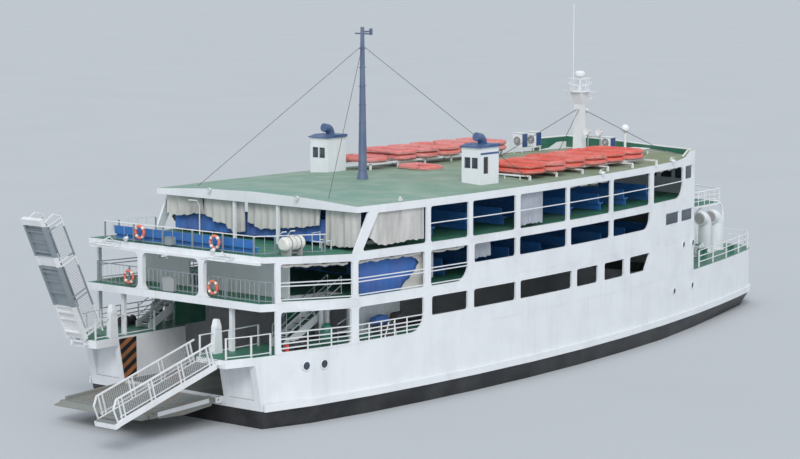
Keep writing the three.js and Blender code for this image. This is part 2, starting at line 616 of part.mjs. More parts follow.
// Passenger gangway with its side rails and end flap, drawn flat aft of its hinge
const GANG_START = -0.24;
const GANG_RAIL = 1.1;
const makeGangway = () => {
  const half = GANG_WIDTH / 2;
  const tip = -GANG_LENGTH;
  const deck = block(tip, GANG_START, -half, half, -0.05, 0.03);
  const flap = block(tip - GANG_FLAP, tip + 0.02, -half - 0.05, half + 0.05, -0.22, 0.02);
  const girders = [-1, 1].map((side) =>
    block(tip, GANG_START, side * half - 0.05, side * half + 0.05, -0.2, 0.06));
  const beams = range(tip + 0.4, -0.6, 5).map((x) => block(x - 0.04, x + 0.04, -half, half, -0.15, -0.04));
  const rails = [-1, 1].flatMap((side) => {
    const y = side * half;
    const posts = range(tip + 0.35, -0.5, 3).flatMap((x) => [x - 0.12, x + 0.12]).map((x) =>
      block(x - 0.03, x + 0.03, y - 0.03, y + 0.03, 0, GANG_RAIL));
    return [...posts,
      bar([tip + 0.15, y, GANG_RAIL], [-0.06, y, GANG_RAIL], 0.07),
      bar([tip + 0.15, y, 0.22], [-0.32, y, 0.22], 0.04),
      bar([tip + 0.15, y, GANG_RAIL], [tip - 0.15, y, 0.72], 0.07),
      bar([tip - 0.15, y, 0.75], [tip - 0.05, y, 0.0], 0.06)];
  });
  const pinEnd = GANG_LUGS + LUG_GAP + LUG_WIDTH;
  const pin = rod([0, -pinEnd, 0], [0, pinEnd, 0], PIN, PIN_SIDES);
  const arms = [-0.3, 0.3].map((y) => block(-0.3, 0, y - 0.08, y + 0.08, -0.05, 0.05));
  return join([deck, flap, ...girders, ...beams, ...rails, pin, ...arms]);
};

// Roof top at a place off the centreline
const roofTop = (x, y) => {
  const share = y / halfBeam(x);
  const low = Math.floor(Math.abs(share) * 2) / 2;
  const rise = (at) => CAMBER * (1 - at * at);
  const part = (Math.abs(share) - low) * 2;
  return ROOF[1] + rise(low) + (rise(Math.min(1, low + 0.5)) - rise(low)) * part;
};

// Space that the roof takes up, with the gap that its fittings keep
const roofShadow = () => {
  const ring = (x) => [-1, -0.5, 0, 0.5, 1].map((share) =>
    [x, share * halfBeam(x), ROOF[1] + CAMBER * (1 - share * share) + GAP]);
  const section = (x) => [[x, -halfBeam(x), ROOF[0]], [x, halfBeam(x), ROOF[0]], ...ring(x).reverse()];
  return loft(range(ROOF_AFT, FRONT - 0.4, 12).map(section));
};

// Funnel houses with their hoods: x0 and y0 are the after and the outer face
const HOUSE = { length: 1.55, width: 1.3, height: 1.9 };
const STARBOARD_HOUSE = { x0: 2.45, y0: -5.75 };
const PORT_HOUSE = { x0: 2.0, y0: -6.05 };
const houseBase = ({ x0, y0 }) => roofTop(x0 + HOUSE.length / 2, y0 + HOUSE.width) + 0.004;
const makeFunnelHouse = (place) => {
  const { x0, y0 } = place;
  const [x1, y1] = [x0 + HOUSE.length, y0 + HOUSE.width];
  const base = houseBase(place);
  const body = block(x0, x1, y0, y1, base, base + HOUSE.height);
  const panes = [0.4, 0.9].map((part) =>
    block(x0 - 0.1, x0 + 0.1, y0 + part - 0.16, y0 + part + 0.16, base + 0.8, base + 1.33));
  const louvre = block(x0 + 0.25, x0 + 0.65, y0 - 0.1, y0 + 0.08, base + 0.5, base + 1.4);
  const coaming = block(x0, x1, y0, y1, base - 0.3, base + 0.02);
  return cut(join([body, coaming]), [...panes, louvre, roofShadow()]);
};
const EXHAUST = 0.24;
const EXHAUST_ROUTE = [[1.0, 0.1], [0.95, 0.32], [0.8, 0.48], [0.4, 0.55]];
const makeFunnelHood = (place) => {
  const { x0, y0 } = place;
  const [x1, y1, middle] = [x0 + HOUSE.length, y0 + HOUSE.width, y0 + HOUSE.width / 2];
  const top = houseBase(place) + HOUSE.height + GAP;
  const cap = sidePrism(shapeOf([[x0 - 0.1, top], [x1 + 0.04, top], [x1 + 0.04, top + 0.16],
    [x0 + 0.5, top + 0.16], [x0 - 0.1, top + 0.04]]), y0 - 0.08, y1 + 0.08);
  const route = EXHAUST_ROUTE.map(([u, v]) => [x0 + u, middle, top + v]);
  const pipe = route.slice(1).map((end, i) => rod(route[i], end, EXHAUST));
  return join([cap, ...pipe]);
};

// Masts
const MAST_X = -0.5;
const MAST_TOP = 18.88;
const makeMainMast = () => {
  const base = ROOF[1] + CAMBER + GAP;
  const height = MAST_TOP - base;
  const pole = lathe([[0, 0], [0.32, 0], [0.24, 0.4], [0.1, height], [0, height]], 10, MAST_X, 0, base);
  const yard = bar([MAST_X, -0.5, MAST_TOP - 0.35], [MAST_X, 0.5, MAST_TOP - 0.35], 0.08);
  const arm = bar([MAST_X, 0, MAST_TOP - 0.25], [MAST_X + 0.75, 0, MAST_TOP - 0.25], 0.08);
  const lamp = rod([MAST_X + 0.7, 0, MAST_TOP - 0.45], [MAST_X + 0.7, 0, MAST_TOP - 0.1], 0.09, 8);
  const rungs = range(base + 1.0, base + 7.0, 6).map((z) =>
    bar([MAST_X - 0.3, 0, z], [MAST_X + 0.3, 0, z], 0.035));
  return join([pole, yard, arm, lamp, ...rungs]);
};

// Square column that widens to a platform with an open basket
const RADAR_X = 19.25;
const PLATFORM_Z = 14.45;
const BASKET = 0.8;
const PEDESTAL = 0.85;
const taper = (x, z0, z1, [alongFoot, acrossFoot], [alongHead, acrossHead]) => {
  const ring = (z, lengthways, across) => [[x - lengthways, -across, z], [x + lengthways, -across, z],
    [x + lengthways, across, z], [x - lengthways, across, z]];
  return loft([ring(z0, alongFoot, acrossFoot), ring(z1, alongHead, acrossHead)]);
};
const makeRadarMast = () => {
  const base = ROOF[1] + CAMBER + GAP;
  const flare = PLATFORM_Z - 0.75;
  const column = taper(RADAR_X, base, flare, [0.26, 0.32], [0.17, 0.27]);
  const head = taper(RADAR_X, flare, PLATFORM_Z, [0.17, 0.27], [0.42, 0.42]);
  const foot = block(RADAR_X - 0.45, RADAR_X + 0.45, -0.5, 0.5, base, base + 0.08);
  const floor = lathe([[0, 0], [0.6, 0], [0.6, 0.08], [0, 0.08]], 12, RADAR_X, 0, PLATFORM_Z - 0.01);
  const yard = block(RADAR_X - 0.06, RADAR_X + 0.06, -1.15, 1.15, PLATFORM_Z + 0.02, PLATFORM_Z + 0.07);
  const around = range(0, 7, 7).map((i) => (i * Math.PI) / 4);
  const posts = around.map((angle) => {
    const [c, s] = [Math.cos(angle), Math.sin(angle)];
    return bar([RADAR_X + 0.55 * c, 0.55 * s, PLATFORM_Z],
      [RADAR_X + 0.72 * c, 0.72 * s, PLATFORM_Z + BASKET], 0.05);
  });
  const rings = [[0.62, 0.38], [0.7, BASKET - 0.03]].map(([r, h]) =>
    lathe([[r - 0.03, 0], [r + 0.03, 0], [r + 0.03, 0.05], [r - 0.03, 0.05], [r - 0.03, 0]], 12, RADAR_X, 0,
      PLATFORM_Z + h));
  const pedestal = lathe([[0, 0], [0.2, 0], [0.06, 0.35], [0.06, PEDESTAL], [0, PEDESTAL]], 10, RADAR_X, 0,
    PLATFORM_Z + 0.04);
  const whip = rod([RADAR_X - 0.66, 0.0, PLATFORM_Z + 0.38], [RADAR_X - 0.66, 0.0, 19.7], 0.025, 6);
  const shelf = sidePrism(shapeOf([[RADAR_X, 13.75], [RADAR_X + 0.2, 13.75], [RADAR_X + 0.95, 14.0],
    [RADAR_X + 0.95, 14.08], [RADAR_X, 14.08]]), -0.25, 0.25);
  const bracket = block(RADAR_X, RADAR_X + 0.75, -0.06, 0.06, 13.12, 13.2);
  const beacon = lathe([[0, 0], [0.2, 0], [0.22, 0.12], [0.12, 0.24], [0, 0.25]], 10, RADAR_X + 0.6, 0,
    13.18);
  return join([column, head, foot, floor, yard, ...posts, ...rings, pedestal, whip, shelf, bracket, beacon]);
};
const makeRadome = () => lathe([[0, 0], [0.26, 0], [0.31, 0.08], [0.31, 0.24], [0.24, 0.34], [0, 0.35]], 14,
  RADAR_X, 0, PLATFORM_Z + 0.04 + PEDESTAL + GAP);

// Stacked rectangular floats on a rack
const FLOAT_WIDTH = 1.75;
const FLOAT_TUBE = 0.3;
const FLOAT_CORNER = 0.3;
const FLOAT_RIM = 0.36;
const makeFloat = (x, y, z, count, length, turn) => {
  const [u, v] = [length / 2, FLOAT_WIDTH / 2];
  const c = FLOAT_CORNER;
  const end = [[u - c, -v], [u, -v + c], [u, v - c], [u - c, v]];
  const outer = shapeOf([...end, ...end.map(([a, b]) => [-a, -b])]);
  const inner = [u - FLOAT_RIM, v - FLOAT_RIM];
  const hole = new THREE.Path();
  hole.moveTo(-inner[0], -inner[1]);
  hole.lineTo(-inner[0], inner[1]);
  hole.lineTo(inner[0], inner[1]);
  hole.lineTo(inner[0], -inner[1]);
  outer.holes.push(hole);
  const geometry = extruded(outer, FLOAT_TUBE * count);
  geometry.rotateZ(THREE.MathUtils.degToRad(turn));
  geometry.translate(x, y, z);
  return solid(geometry);
};
// each stack: place along the ship, off the centreline, number of floats, their length, turn in degrees
const STARBOARD_STACKS = [
  [7.3, -4.35, 2, 3.5, 86], [9.25, -4.3, 2, 3.5, 84], [11.55, -3.9, 2, 3.6, 86], [13.8, -3.8, 2, 3.6, 87],
  [15.85, -3.6, 2, 3.6, 86], [17.85, -3.5, 2, 3.6, 88],
];
const PORT_STACKS = [
  [4.95, 4.85, 1, 3.2, 87], [7.2, 4.6, 2, 3.2, 86], [9.2, 4.6, 2, 3.2, 88], [11.2, 4.6, 2, 3.2, 86],
  [13.3, 4.5, 2, 3.2, 88], [15.3, 4.4, 2, 3.2, 87],
];
// Racks: height of the top over the roof's crown, where the two long rails lie and where the cross rails end
const STARBOARD_RACK = { rise: 0.06, rails: [-2.7, -4.9], outer: -6.0 };
const PORT_RACK = { rise: 0.3, rails: [3.4, 5.6], outer: 5.9 };
const RACK_BAR = 0.05;
const makeFloats = (stacks, { rise, rails, outer }) => {
  const xs = stacks.map(([x]) => x);
  const top = ROOF[1] + CAMBER + rise;
  const [first, last] = [Math.min(...xs) - 0.9, Math.max(...xs) + 0.8];
  const ends = [rails[0], outer];
  const runners = rails.map((y) => block(first, last, y - RACK_BAR, y + RACK_BAR, top - 0.1, top));
  const stations = range(first + RACK_BAR, last - RACK_BAR, 4);
  const legs = stations.flatMap((x) => ends.map((y) =>
    block(x - RACK_BAR, x + RACK_BAR, y - RACK_BAR, y + RACK_BAR, ROOF[1] - 0.1, top - 0.05)));
  const ties = stations.map((x) =>
    block(x - RACK_BAR, x + RACK_BAR, Math.min(...ends), Math.max(...ends), top - 0.1, top - 0.02));
  const floats = stacks.map(([x, y, count, length, turn]) =>
    makeFloat(x, y, top - 0.01, count, length, turn));
  return cut(join([...runners, ...legs, ...ties, ...floats]), [roofShadow()]);
};

// One more float that lies on the roof by itself
const makeLooseFloat = () => cut(makeFloat(6.3, 1.6, ROOF[1] + 0.12, 1, 2.6, 80), [roofShadow()]);

// Canister life raft on its cradle beside the upper rail
const RAFT = { x: -12.75, y: -6.08, z: 8.93, radius: 0.35, length: 1.4 };
const makeRaft = () => {
  const { x, y, z, radius, length } = RAFT;
  const profile = [[0, 0], [radius * 0.75, 0], [radius, 0.12], [radius, length - 0.12],
    [radius * 0.75, length], [0, length]];
  const geometry = new THREE.LatheGeometry(profile.map(([r, h]) => new THREE.Vector2(r, h)), 14);
  geometry.rotateZ(-Math.PI / 2);
  geometry.translate(x - length / 2, y, z);
  return solid(geometry);
};
const makeCradle = () => {
  const { x, y, z, radius } = RAFT;
  const frames = [-0.4, 0.4].map((shift) => block(x + shift - 0.04, x + shift + 0.04, y - 0.3, y + 0.3,
    DECK_THREE[1] + GAP, z - 0.3));
  const tie = block(x - 0.4, x + 0.4, y - 0.05, y + 0.05, DECK_THREE[1] + 0.1, DECK_THREE[1] + 0.18);
  const canister = rod([x - 1, y, z], [x + 1, y, z], radius + GAP * 2, 28);
  return cut(withSheer(join([...frames, tie])), [canister]);
};

// Bow fittings
const makeWindlass = () => {
  const [x, middle] = [29.9, -0.9];
  const base = CASING_TOP + GAP;
  const axle = base + 0.55;
  const drum = rod([x, middle - 0.9, axle], [x, middle + 0.9, axle], 0.22, 14);
  const flanges = [-0.9, -0.45, 0.45, 0.9].map((shift) =>
    rod([x, middle + shift - 0.04, axle], [x, middle + shift + 0.04, axle], 0.34, 14));
  const stands = [-0.65, 0.65].map((shift) =>
    block(x - 0.3, x + 0.3, middle + shift - 0.08, middle + shift + 0.08, base, base + 0.6));
  const bed = block(x - 0.45, x + 0.45, middle - 0.85, middle + 0.85, base, base + 0.12);
  const motor = block(x + 0.25, x + 0.8, middle - 0.25, middle + 0.25, base + 0.05, base + 0.5);
  return join([drum, ...flanges, ...stands, bed, motor]);
};
// Ventilator whose trunk bends over aft
const VENT = { y: -0.6, pipe: 0.42, cowl: 0.46, bend: 0.5, height: 1.7 };
const makeVentilator = (x) => {
  const { y, pipe, cowl, bend, height } = VENT;
  const base = CASING_TOP + GAP;
  const stem = rod([x, y, base], [x, y, base + height], pipe, 14);
  const steps = range(0, Math.PI * 0.6, 4);
  const neck = steps.slice(1).map((angle, i) => {
    const at = (a) => [x - bend * (1 - Math.cos(a)), y, base + height + bend * Math.sin(a)];
    return rod(at(steps[i]), at(angle), pipe + ((cowl - pipe) * (i + 1)) / 4, 14);
  });
  const foot = rod([x, y, base], [x, y, base + 0.1], pipe + 0.1, 14);
  return join([stem, ...neck, foot]);
};
const makeForecastleRail = () => {
  const inset = 0.12;
  const xs = [25.6, 28, 30.5, 33, 35, 36.3];
  const starboard = xs.map((x) => [x, -(halfBeam(x) - inset)]);
  return railRun([...starboard, ...starboard.map(([x, y]) => [x, -y]).reverse()], CASING_TOP, RAIL_HEIGHT,
    THREE_BARS);
};

// Deck rails aft of the side plating
const makeDeckTwoRail = () => withSheer(railRun([
  [SHELL_AFT - 0.08, -(halfBeam(SHELL_AFT) - 0.15)], [-14.6, -5.6], [-14.6, 5.6],
  [SHELL_AFT - 0.08, halfBeam(SHELL_AFT) - 0.15]], DECK_TWO[1]));
const DECK_THREE_RAIL = [[-10.2, 5.94], [-13.28, 5.47], [-14.5, 5.2]];
const DECK_THREE_RAIL_HEIGHT = 0.95;
const makeDeckThreeRail = () => withSheer(railRun([
  ...DECK_THREE_RAIL.map(([x, y]) => [x, -y]), ...DECK_THREE_RAIL.toReversed()], DECK_THREE[1],
  DECK_THREE_RAIL_HEIGHT));
const makePlatformRail = () => railRun([[PLATFORM_AFT + 0.12, -PLATFORM_OUT + 0.07], [TRANSOM, -5.78],
  [SHELL_AFT - 0.08, -5.95]], CASING_TOP);

// Rows of benches on long floor runners
const BENCH = [[0.15, 0.03], [0.22, 0.03], [0.22, 0.38], [0.45, 0.38], [0.45, 0.45], [0.08, 0.45], [0, 0.95],
  [-0.06, 0.95], [0.01, 0.38], [0.15, 0.38]];
const makeBenches = (floor, xs, inner, reachAt) => {
  const rows = xs.flatMap((x) => [-1, 1].map((side) => {
    const half = Math.min(reachAt(x), halfBeam(x) - 1.3);
    return onSide(side, sidePrism(shapeOf(BENCH.map(([u, v]) => [x + u, floor + v])), -half, -inner));
  }));
  const first = Math.min(...xs);
  const last = Math.max(...xs);
  const runners = [-inner - 1, inner + 1].map((y) =>
    block(first, last + 0.4, y - 0.05, y + 0.05, floor + GAP, floor + 0.06));
  const cross = block(first + 0.15, first + 0.22, -inner - 1, inner + 1, floor + GAP, floor + 0.06);
  return join([...runners, cross, ...rows]);
};
// Rows beside the stair well stop short of it
const besideWell = (x) => (x > UPPER_STAIR.well - 0.6 && x < UPPER_STAIR.head + 0.1 ? 3.9 : 5.4);

// Low bench across the after end of deck three, its back to the rail
const AFT_BENCH = { x: -14.15, half: 4.9, share: 0.74 };
const makeAftBench = () => {
  const { x, half, share } = AFT_BENCH;
  const profile = BENCH.map(([u, v]) => [x + u, DECK_THREE[1] + v * share]);
  const feet = range(-half + 0.3, half - 0.3, 5).map((y) =>
    block(x + 0.15, x + 0.22, y - 0.1, y + 0.1, DECK_THREE[1] + GAP, DECK_THREE[1] + 0.1));
  return withSheer(join([sidePrism(shapeOf(profile), -half, half), ...feet]));
};

// Air conditioners on stands, their fans facing aft
const COOLER = { length: 0.54, width: 0.7, fan: 0.26 };
const makeCooler = (xs, y, lift, height) => {
  const { length, width, fan } = COOLER;
  const base = roofTop(xs[0], y) + lift;
  const [y0, y1] = [y - width / 2, y + width / 2];
  const units = xs.flatMap((x) => [block(x, x + length, y0, y1, base, base + height),
    rod([x - 0.04, y, base + height / 2], [x + 0.05, y, base + height / 2], fan, 14)]);
  const last = Math.max(...xs) + length;
  const rails = [y0 + 0.05, y1 - 0.05].map((v) =>
    block(xs[0], last, v - 0.03, v + 0.03, base - 0.06, base + 0.01));
  const legs = [xs[0] + 0.05, last - 0.05].flatMap((x) => [y0 + 0.05, y1 - 0.05].map((v) =>
    block(x - 0.03, x + 0.03, v - 0.03, v + 0.03, ROOF[1], base)));
  const ties = [xs[0] + 0.05, last - 0.05].map((x) =>
    block(x - 0.03, x + 0.03, y0 + 0.05, y1 - 0.05, base - 0.05, base));
  return cut(join([...units, ...rails, ...legs, ...ties]), [roofShadow()]);
};

// Hung canvas, as plain slabs
const AFT_CURTAIN = { aft: -8.7, fore: -8.55, half: 6.7, starboardFoot: 8.3, portFoot: 9.0 };
const makeAftCurtain = () => {
  const { aft, fore, half, starboardFoot, portFoot } = AFT_CURTAIN;
  const head = ROOF[0] - GAP;
  const shape = shapeOf([[-half, starboardFoot], [half, portFoot], [half, head], [-half, head]]);
  return crossPrism(shape, aft, fore);
};
const makeSideCurtain = () => sideStrip(-7.9, -4.0, 2, SHELL + 0.06, SHELL + 0.2, 8.35, ROOF[0] - GAP);

// Propellers, shafts, brackets and rudders
const makePropeller = () => {
  const hub = rod([0.18, 0, 0], [-0.28, 0, 0], 0.15, 16);
  const blade = (angle) => {
    const geometry = extruded(shapeOf([[-0.12, 0.1], [0.12, 0.1], [0.26, 0.4], [0.14, PROP_RADIUS],
      [-0.14, PROP_RADIUS], [-0.26, 0.4]]), 0.05);
    geometry.translate(0, 0, -0.025);
    geometry.rotateY(THREE.MathUtils.degToRad(35));
    geometry.rotateX(THREE.MathUtils.degToRad(angle));
    return solid(geometry);
  };
  const shaft = rod([0.1, 0, 0], [TUBE_END - PROP_X - GAP * 10, 0, 0], SHAFT_RADIUS, 24);
  return join([hub, ...[0, 90, 180, 270].map(blade), shaft]);
};
const makeBracket = () => {
  const bore = SHAFT_RADIUS / Math.cos(Math.PI / 24) + 0.001;
  const barrel = rod([BRACKET_X - 0.25, -SHAFT_Y, SHAFT_Z], [BRACKET_X + 0.25, -SHAFT_Y, SHAFT_Z], 0.19, 24);
  const legs = [-0.35, 0.35].map((shift) => bar([BRACKET_X, -SHAFT_Y + shift * 0.3, SHAFT_Z + 0.12],
    [BRACKET_X, -SHAFT_Y + shift * 1.6, bottomAt(BRACKET_X) + 0.1], 0.12));
  const arm = join([barrel, ...legs]);
  const hole = rod([BRACKET_X - 1, -SHAFT_Y, SHAFT_Z], [BRACKET_X + 1, -SHAFT_Y, SHAFT_Z], bore, 24);
  const above = block(-15, -8, -6, 0, 0, 1);
  const sternBottom = loft(stationXs.slice(0, 5).map(hullSection));
  const bottom = reshaped(sternBottom, (geometry) => geometry.translate(0, 0, -GAP));
  return cut(arm, [hole, above, bottom]);
};
const makeRudder = () => {
  const section = [[0.35, 0], [0.2, 0.09], [-0.2, 0.09], [-0.85, 0.01], [-0.85, -0.01], [-0.2, -0.09],
    [0.2, -0.09]];
  const blade = prism(shapeOf(section), -2.35, RUDDER_TOP - 0.12);
  return blade.add(rod([0, 0, RUDDER_TOP - 0.3], [0, 0, RUDDER_TOP - GAP], 0.1, 16));
};

// The ship
const ship = new THREE.Group();
ship.scale.setScalar(MODEL_MM);
ship.position.x = -MIDSHIP * MODEL_MM;

const add = (name, manifold, material, parent = ship) => {
  const mesh = new THREE.Mesh(geometryOf(manifold), material);
  mesh.name = name;
  parent.add(mesh);
};
const addPair = (name, manifold, material) => {
  add(`${name}_starboard`, manifold, material);
  add(`${name}_port`, mirrored(manifold), material);
};

add('hull', makeHull(), paint(WHITE));
add('rubbing_strake', makeStrake(), paint(WHITE, 0.6));
const lowerShell = makeShell(SHELL_AFT, CASING_TOP, DECK_TWO[0], LOWER_OPENINGS, [0, 2], LOWER_BARS,
  LOWER_POSTS);
addPair('shell_lower', withSheer(lowerShell), paint(WHITE));
const middleShell = makeShell(SHELL_AFT, DECK_TWO[1], DECK_THREE[0], MIDDLE_OPENINGS, [0, 3], MIDDLE_BARS);
addPair('shell_middle', withSheer(middleShell), paint(WHITE));
addPair('shell_upper', makeUpperShell(), paint(WHITE));
add('front_wall', makeFrontWall(), paint(WHITE));
add('deck_two', makeDeckTwo(), paint(GREEN, 0.8));
add('deck_three', makeDeckThree(), paint(GREEN, 0.8));
add('roof', makeRoof(), paint(GREEN, 0.8));
add('aft_frame', makeAftFrame(), paint(WHITE));
add('bulkhead_deck_two', makeBulkhead(), paint(WHITE));
addPair('stair_lower', makeStair(CASING_TOP + GAP, DECK_TWO[1], LOWER_STAIR), paint(WHITE));
addPair('stair_upper', makeStair(DECK_TWO[1] + GAP, DECK_THREE[1], UPPER_STAIR), paint(WHITE));
addPair('stern_platform', makePlatform(), paint(GREEN, 0.8));
addPair('platform_rail', makePlatformRail(), paint(WHITE));
addPair('hoist_post', makeHoistPost(), paint(WHITE));
add('rail_deck_two', makeDeckTwoRail(), paint(WHITE));
add('rail_deck_three', makeDeckThreeRail(), paint(WHITE));
add('rail_forecastle', makeForecastleRail(), paint(WHITE));
add('funnel_house_starboard', makeFunnelHouse(STARBOARD_HOUSE), paint(WHITE));
add('funnel_house_port', mirrored(makeFunnelHouse(PORT_HOUSE)), paint(WHITE));
add('funnel_hood_starboard', makeFunnelHood(STARBOARD_HOUSE), paint(NAVY));
add('funnel_hood_port', mirrored(makeFunnelHood(PORT_HOUSE)), paint(NAVY));
add('mast_main', makeMainMast(), paint(STEEL_BLUE));
add('mast_radar', makeRadarMast(), paint(WHITE));
add('radar_dome', makeRadome(), paint(WHITE));
add('floats_starboard', makeFloats(STARBOARD_STACKS, STARBOARD_RACK), paint(ORANGE, 0.8));
add('floats_port', makeFloats(PORT_STACKS, PORT_RACK), paint(ORANGE, 0.8));
add('float_loose', makeLooseFloat(), paint(ORANGE, 0.8));
add('life_raft', makeRaft(), paint(WHITE));
add('raft_cradle', makeCradle(), paint(GREY));
add('windlass', makeWindlass(), paint(GREEN));
add('ventilator_aft', makeVentilator(32.1), paint(WHITE));
add('ventilator_fore', makeVentilator(33.4), paint(WHITE));
add('benches_deck_two', makeBenches(DECK_TWO[1], range(-3, 20, 8), 0.9, () => 5.2), paint(SEAT_BLUE));
add('benches_deck_three', makeBenches(DECK_THREE[1], range(-7.5, 20, 9), 0.9, besideWell), paint(SEAT_BLUE));
add('bench_aft', makeAftBench(), paint(SEAT_BLUE));
add('cooler_aft', makeCooler([19.2, 20.6], 4.6, 0.3, 0.85), paint(WHITE));
add('cooler_fore', makeCooler([22.8], 0.6, 0.12, 0.6), paint(WHITE));
add('curtain_aft', makeAftCurtain(), paint(CANVAS, 0.95, 0));
addPair('curtain_side', makeSideCurtain(), paint(CANVAS, 0.95, 0));
addPair('shaft_bracket', makeBracket(), paint(BRONZE, 0.5, 0.6));

// Moving pieces, each in a group at its joint
const hinged = (x, y, z, pitch) => {
  const group = new THREE.Group();
  group.position.set(x, y, z);
  group.rotation.y = THREE.MathUtils.degToRad(pitch);
  ship.add(group);
  return group;
};
add('vehicle_ramp', makeRamp(), paint(GREY, 0.9), hinged(RAMP_HINGE[0], 0, RAMP_HINGE[1], RAMP_REST));
const gangway = makeGangway();
add('gangway_starboard', gangway, paint(WHITE), hinged(GANG_HINGE[0], -GANG_Y, GANG_HINGE[1], GANG_DOWN));
add('gangway_port', gangway, paint(WHITE), hinged(GANG_HINGE[0], GANG_Y, GANG_HINGE[1], GANG_UP));
const propeller = makePropeller();
const rudder = makeRudder();
[[-1, 'starboard'], [1, 'port']].forEach(([side, name]) => {
  add(`propeller_${name}`, propeller, paint(BRONZE, 0.4, 0.8), hinged(PROP_X, side * SHAFT_Y, SHAFT_Z, 0));
  add(`rudder_${name}`, rudder, paint(NAVY), hinged(RUDDER_X, side * SHAFT_Y, 0, 0));
});

export default ship;
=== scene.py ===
# Looks of the roll-on roll-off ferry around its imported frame.
# Places are in metres of the real ship, as in the CAD.
# at() turns them into metres of the 1:2 model.
import json
import math
import random

import bmesh
import bpy
from mathutils import Matrix, Vector


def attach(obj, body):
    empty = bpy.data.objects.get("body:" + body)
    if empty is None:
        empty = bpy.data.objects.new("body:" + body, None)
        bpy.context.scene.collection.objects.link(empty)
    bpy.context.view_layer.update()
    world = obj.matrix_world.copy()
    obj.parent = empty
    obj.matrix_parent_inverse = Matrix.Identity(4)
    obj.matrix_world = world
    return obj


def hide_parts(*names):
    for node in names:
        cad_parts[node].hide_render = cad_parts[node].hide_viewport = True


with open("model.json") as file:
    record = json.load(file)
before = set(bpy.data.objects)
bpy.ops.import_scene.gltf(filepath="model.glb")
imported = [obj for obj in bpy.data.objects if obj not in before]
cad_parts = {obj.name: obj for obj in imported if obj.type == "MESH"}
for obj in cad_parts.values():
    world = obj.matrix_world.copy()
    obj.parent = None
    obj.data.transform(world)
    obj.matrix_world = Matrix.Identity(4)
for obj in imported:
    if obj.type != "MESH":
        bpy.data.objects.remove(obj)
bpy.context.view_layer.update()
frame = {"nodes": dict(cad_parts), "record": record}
nodes = frame["nodes"]
random.seed(7)

# Driving dimensions, in metres of the real ship, with the ratios of its scale, plan and sheer
SCALE = 0.5
MIDSHIP = 10.5
BEAM = 14.8
PLAN_CURVE = 0.00433
STERN_FROM = -9
STERN_RUN = 8
STERN_PULL = 0.65
STRAKE_FOOT = 0.9
CASING_TOP = 3.62
DECK_TWO = (5.5, 5.88)
DECK_THREE = (7.85, 8.15)
ROOF = (10.15, 10.45)
CAMBER = 0.28
FRONT = 24.85
KNUCKLE = -9.4
SHEER = 0.0536

# Starboard and port, and the direction upwards
SIDES = (-1, 1)
UP = Vector((0, 0, 1))


def at(x, y, z):
    """A place on the ship, in the frame's metres."""
    return Vector(((x - MIDSHIP) * SCALE, y * SCALE, z * SCALE))


def half_beam(x):
    half = BEAM / 2 - PLAN_CURVE * x * x
    return half - STERN_PULL * ((STERN_FROM - x) / STERN_RUN) ** 2 if x < STERN_FROM else half


def roof_top(x, y):
    share = y / half_beam(x)
    return ROOF[1] + CAMBER * (1 - share * share)


def sheer(x, z):
    """How far the passenger decks rise aft of their knuckle."""
    share = min(1, max(0, (z - CASING_TOP) / (DECK_TWO[0] - CASING_TOP)))
    return max(0, KNUCKLE - x) * SHEER * share


def risen(x, y, z):
    return Vector((x, y, z + sheer(x, z)))


def plating(x, z, inset=0, side=-1):
    """A place on the side plating, or inset from its outer face."""
    return Vector((x, side * (half_beam(x) - inset), z + sheer(x, z)))


def spaced(start, end, step):
    """Evenly spread values from start to end, about step apart."""
    count = max(1, round(abs(end - start) / step))
    return [start + (end - start) * i / count for i in range(count + 1)]


def turns(count):
    """Angles of a full turn in even steps."""
    return [2 * math.pi * k / count for k in range(count)]


def hoop(centre, radius, count, across=(0, 1, 0)):
    """Places around an upright circle."""
    return [Vector(centre) + radius * (math.cos(a) * Vector(across) + math.sin(a) * UP) for a in turns(count)]


# Forms, in metres of the real ship
HALF_DIAGONAL = 0.7071
MERGE_WITHIN = 1e-5


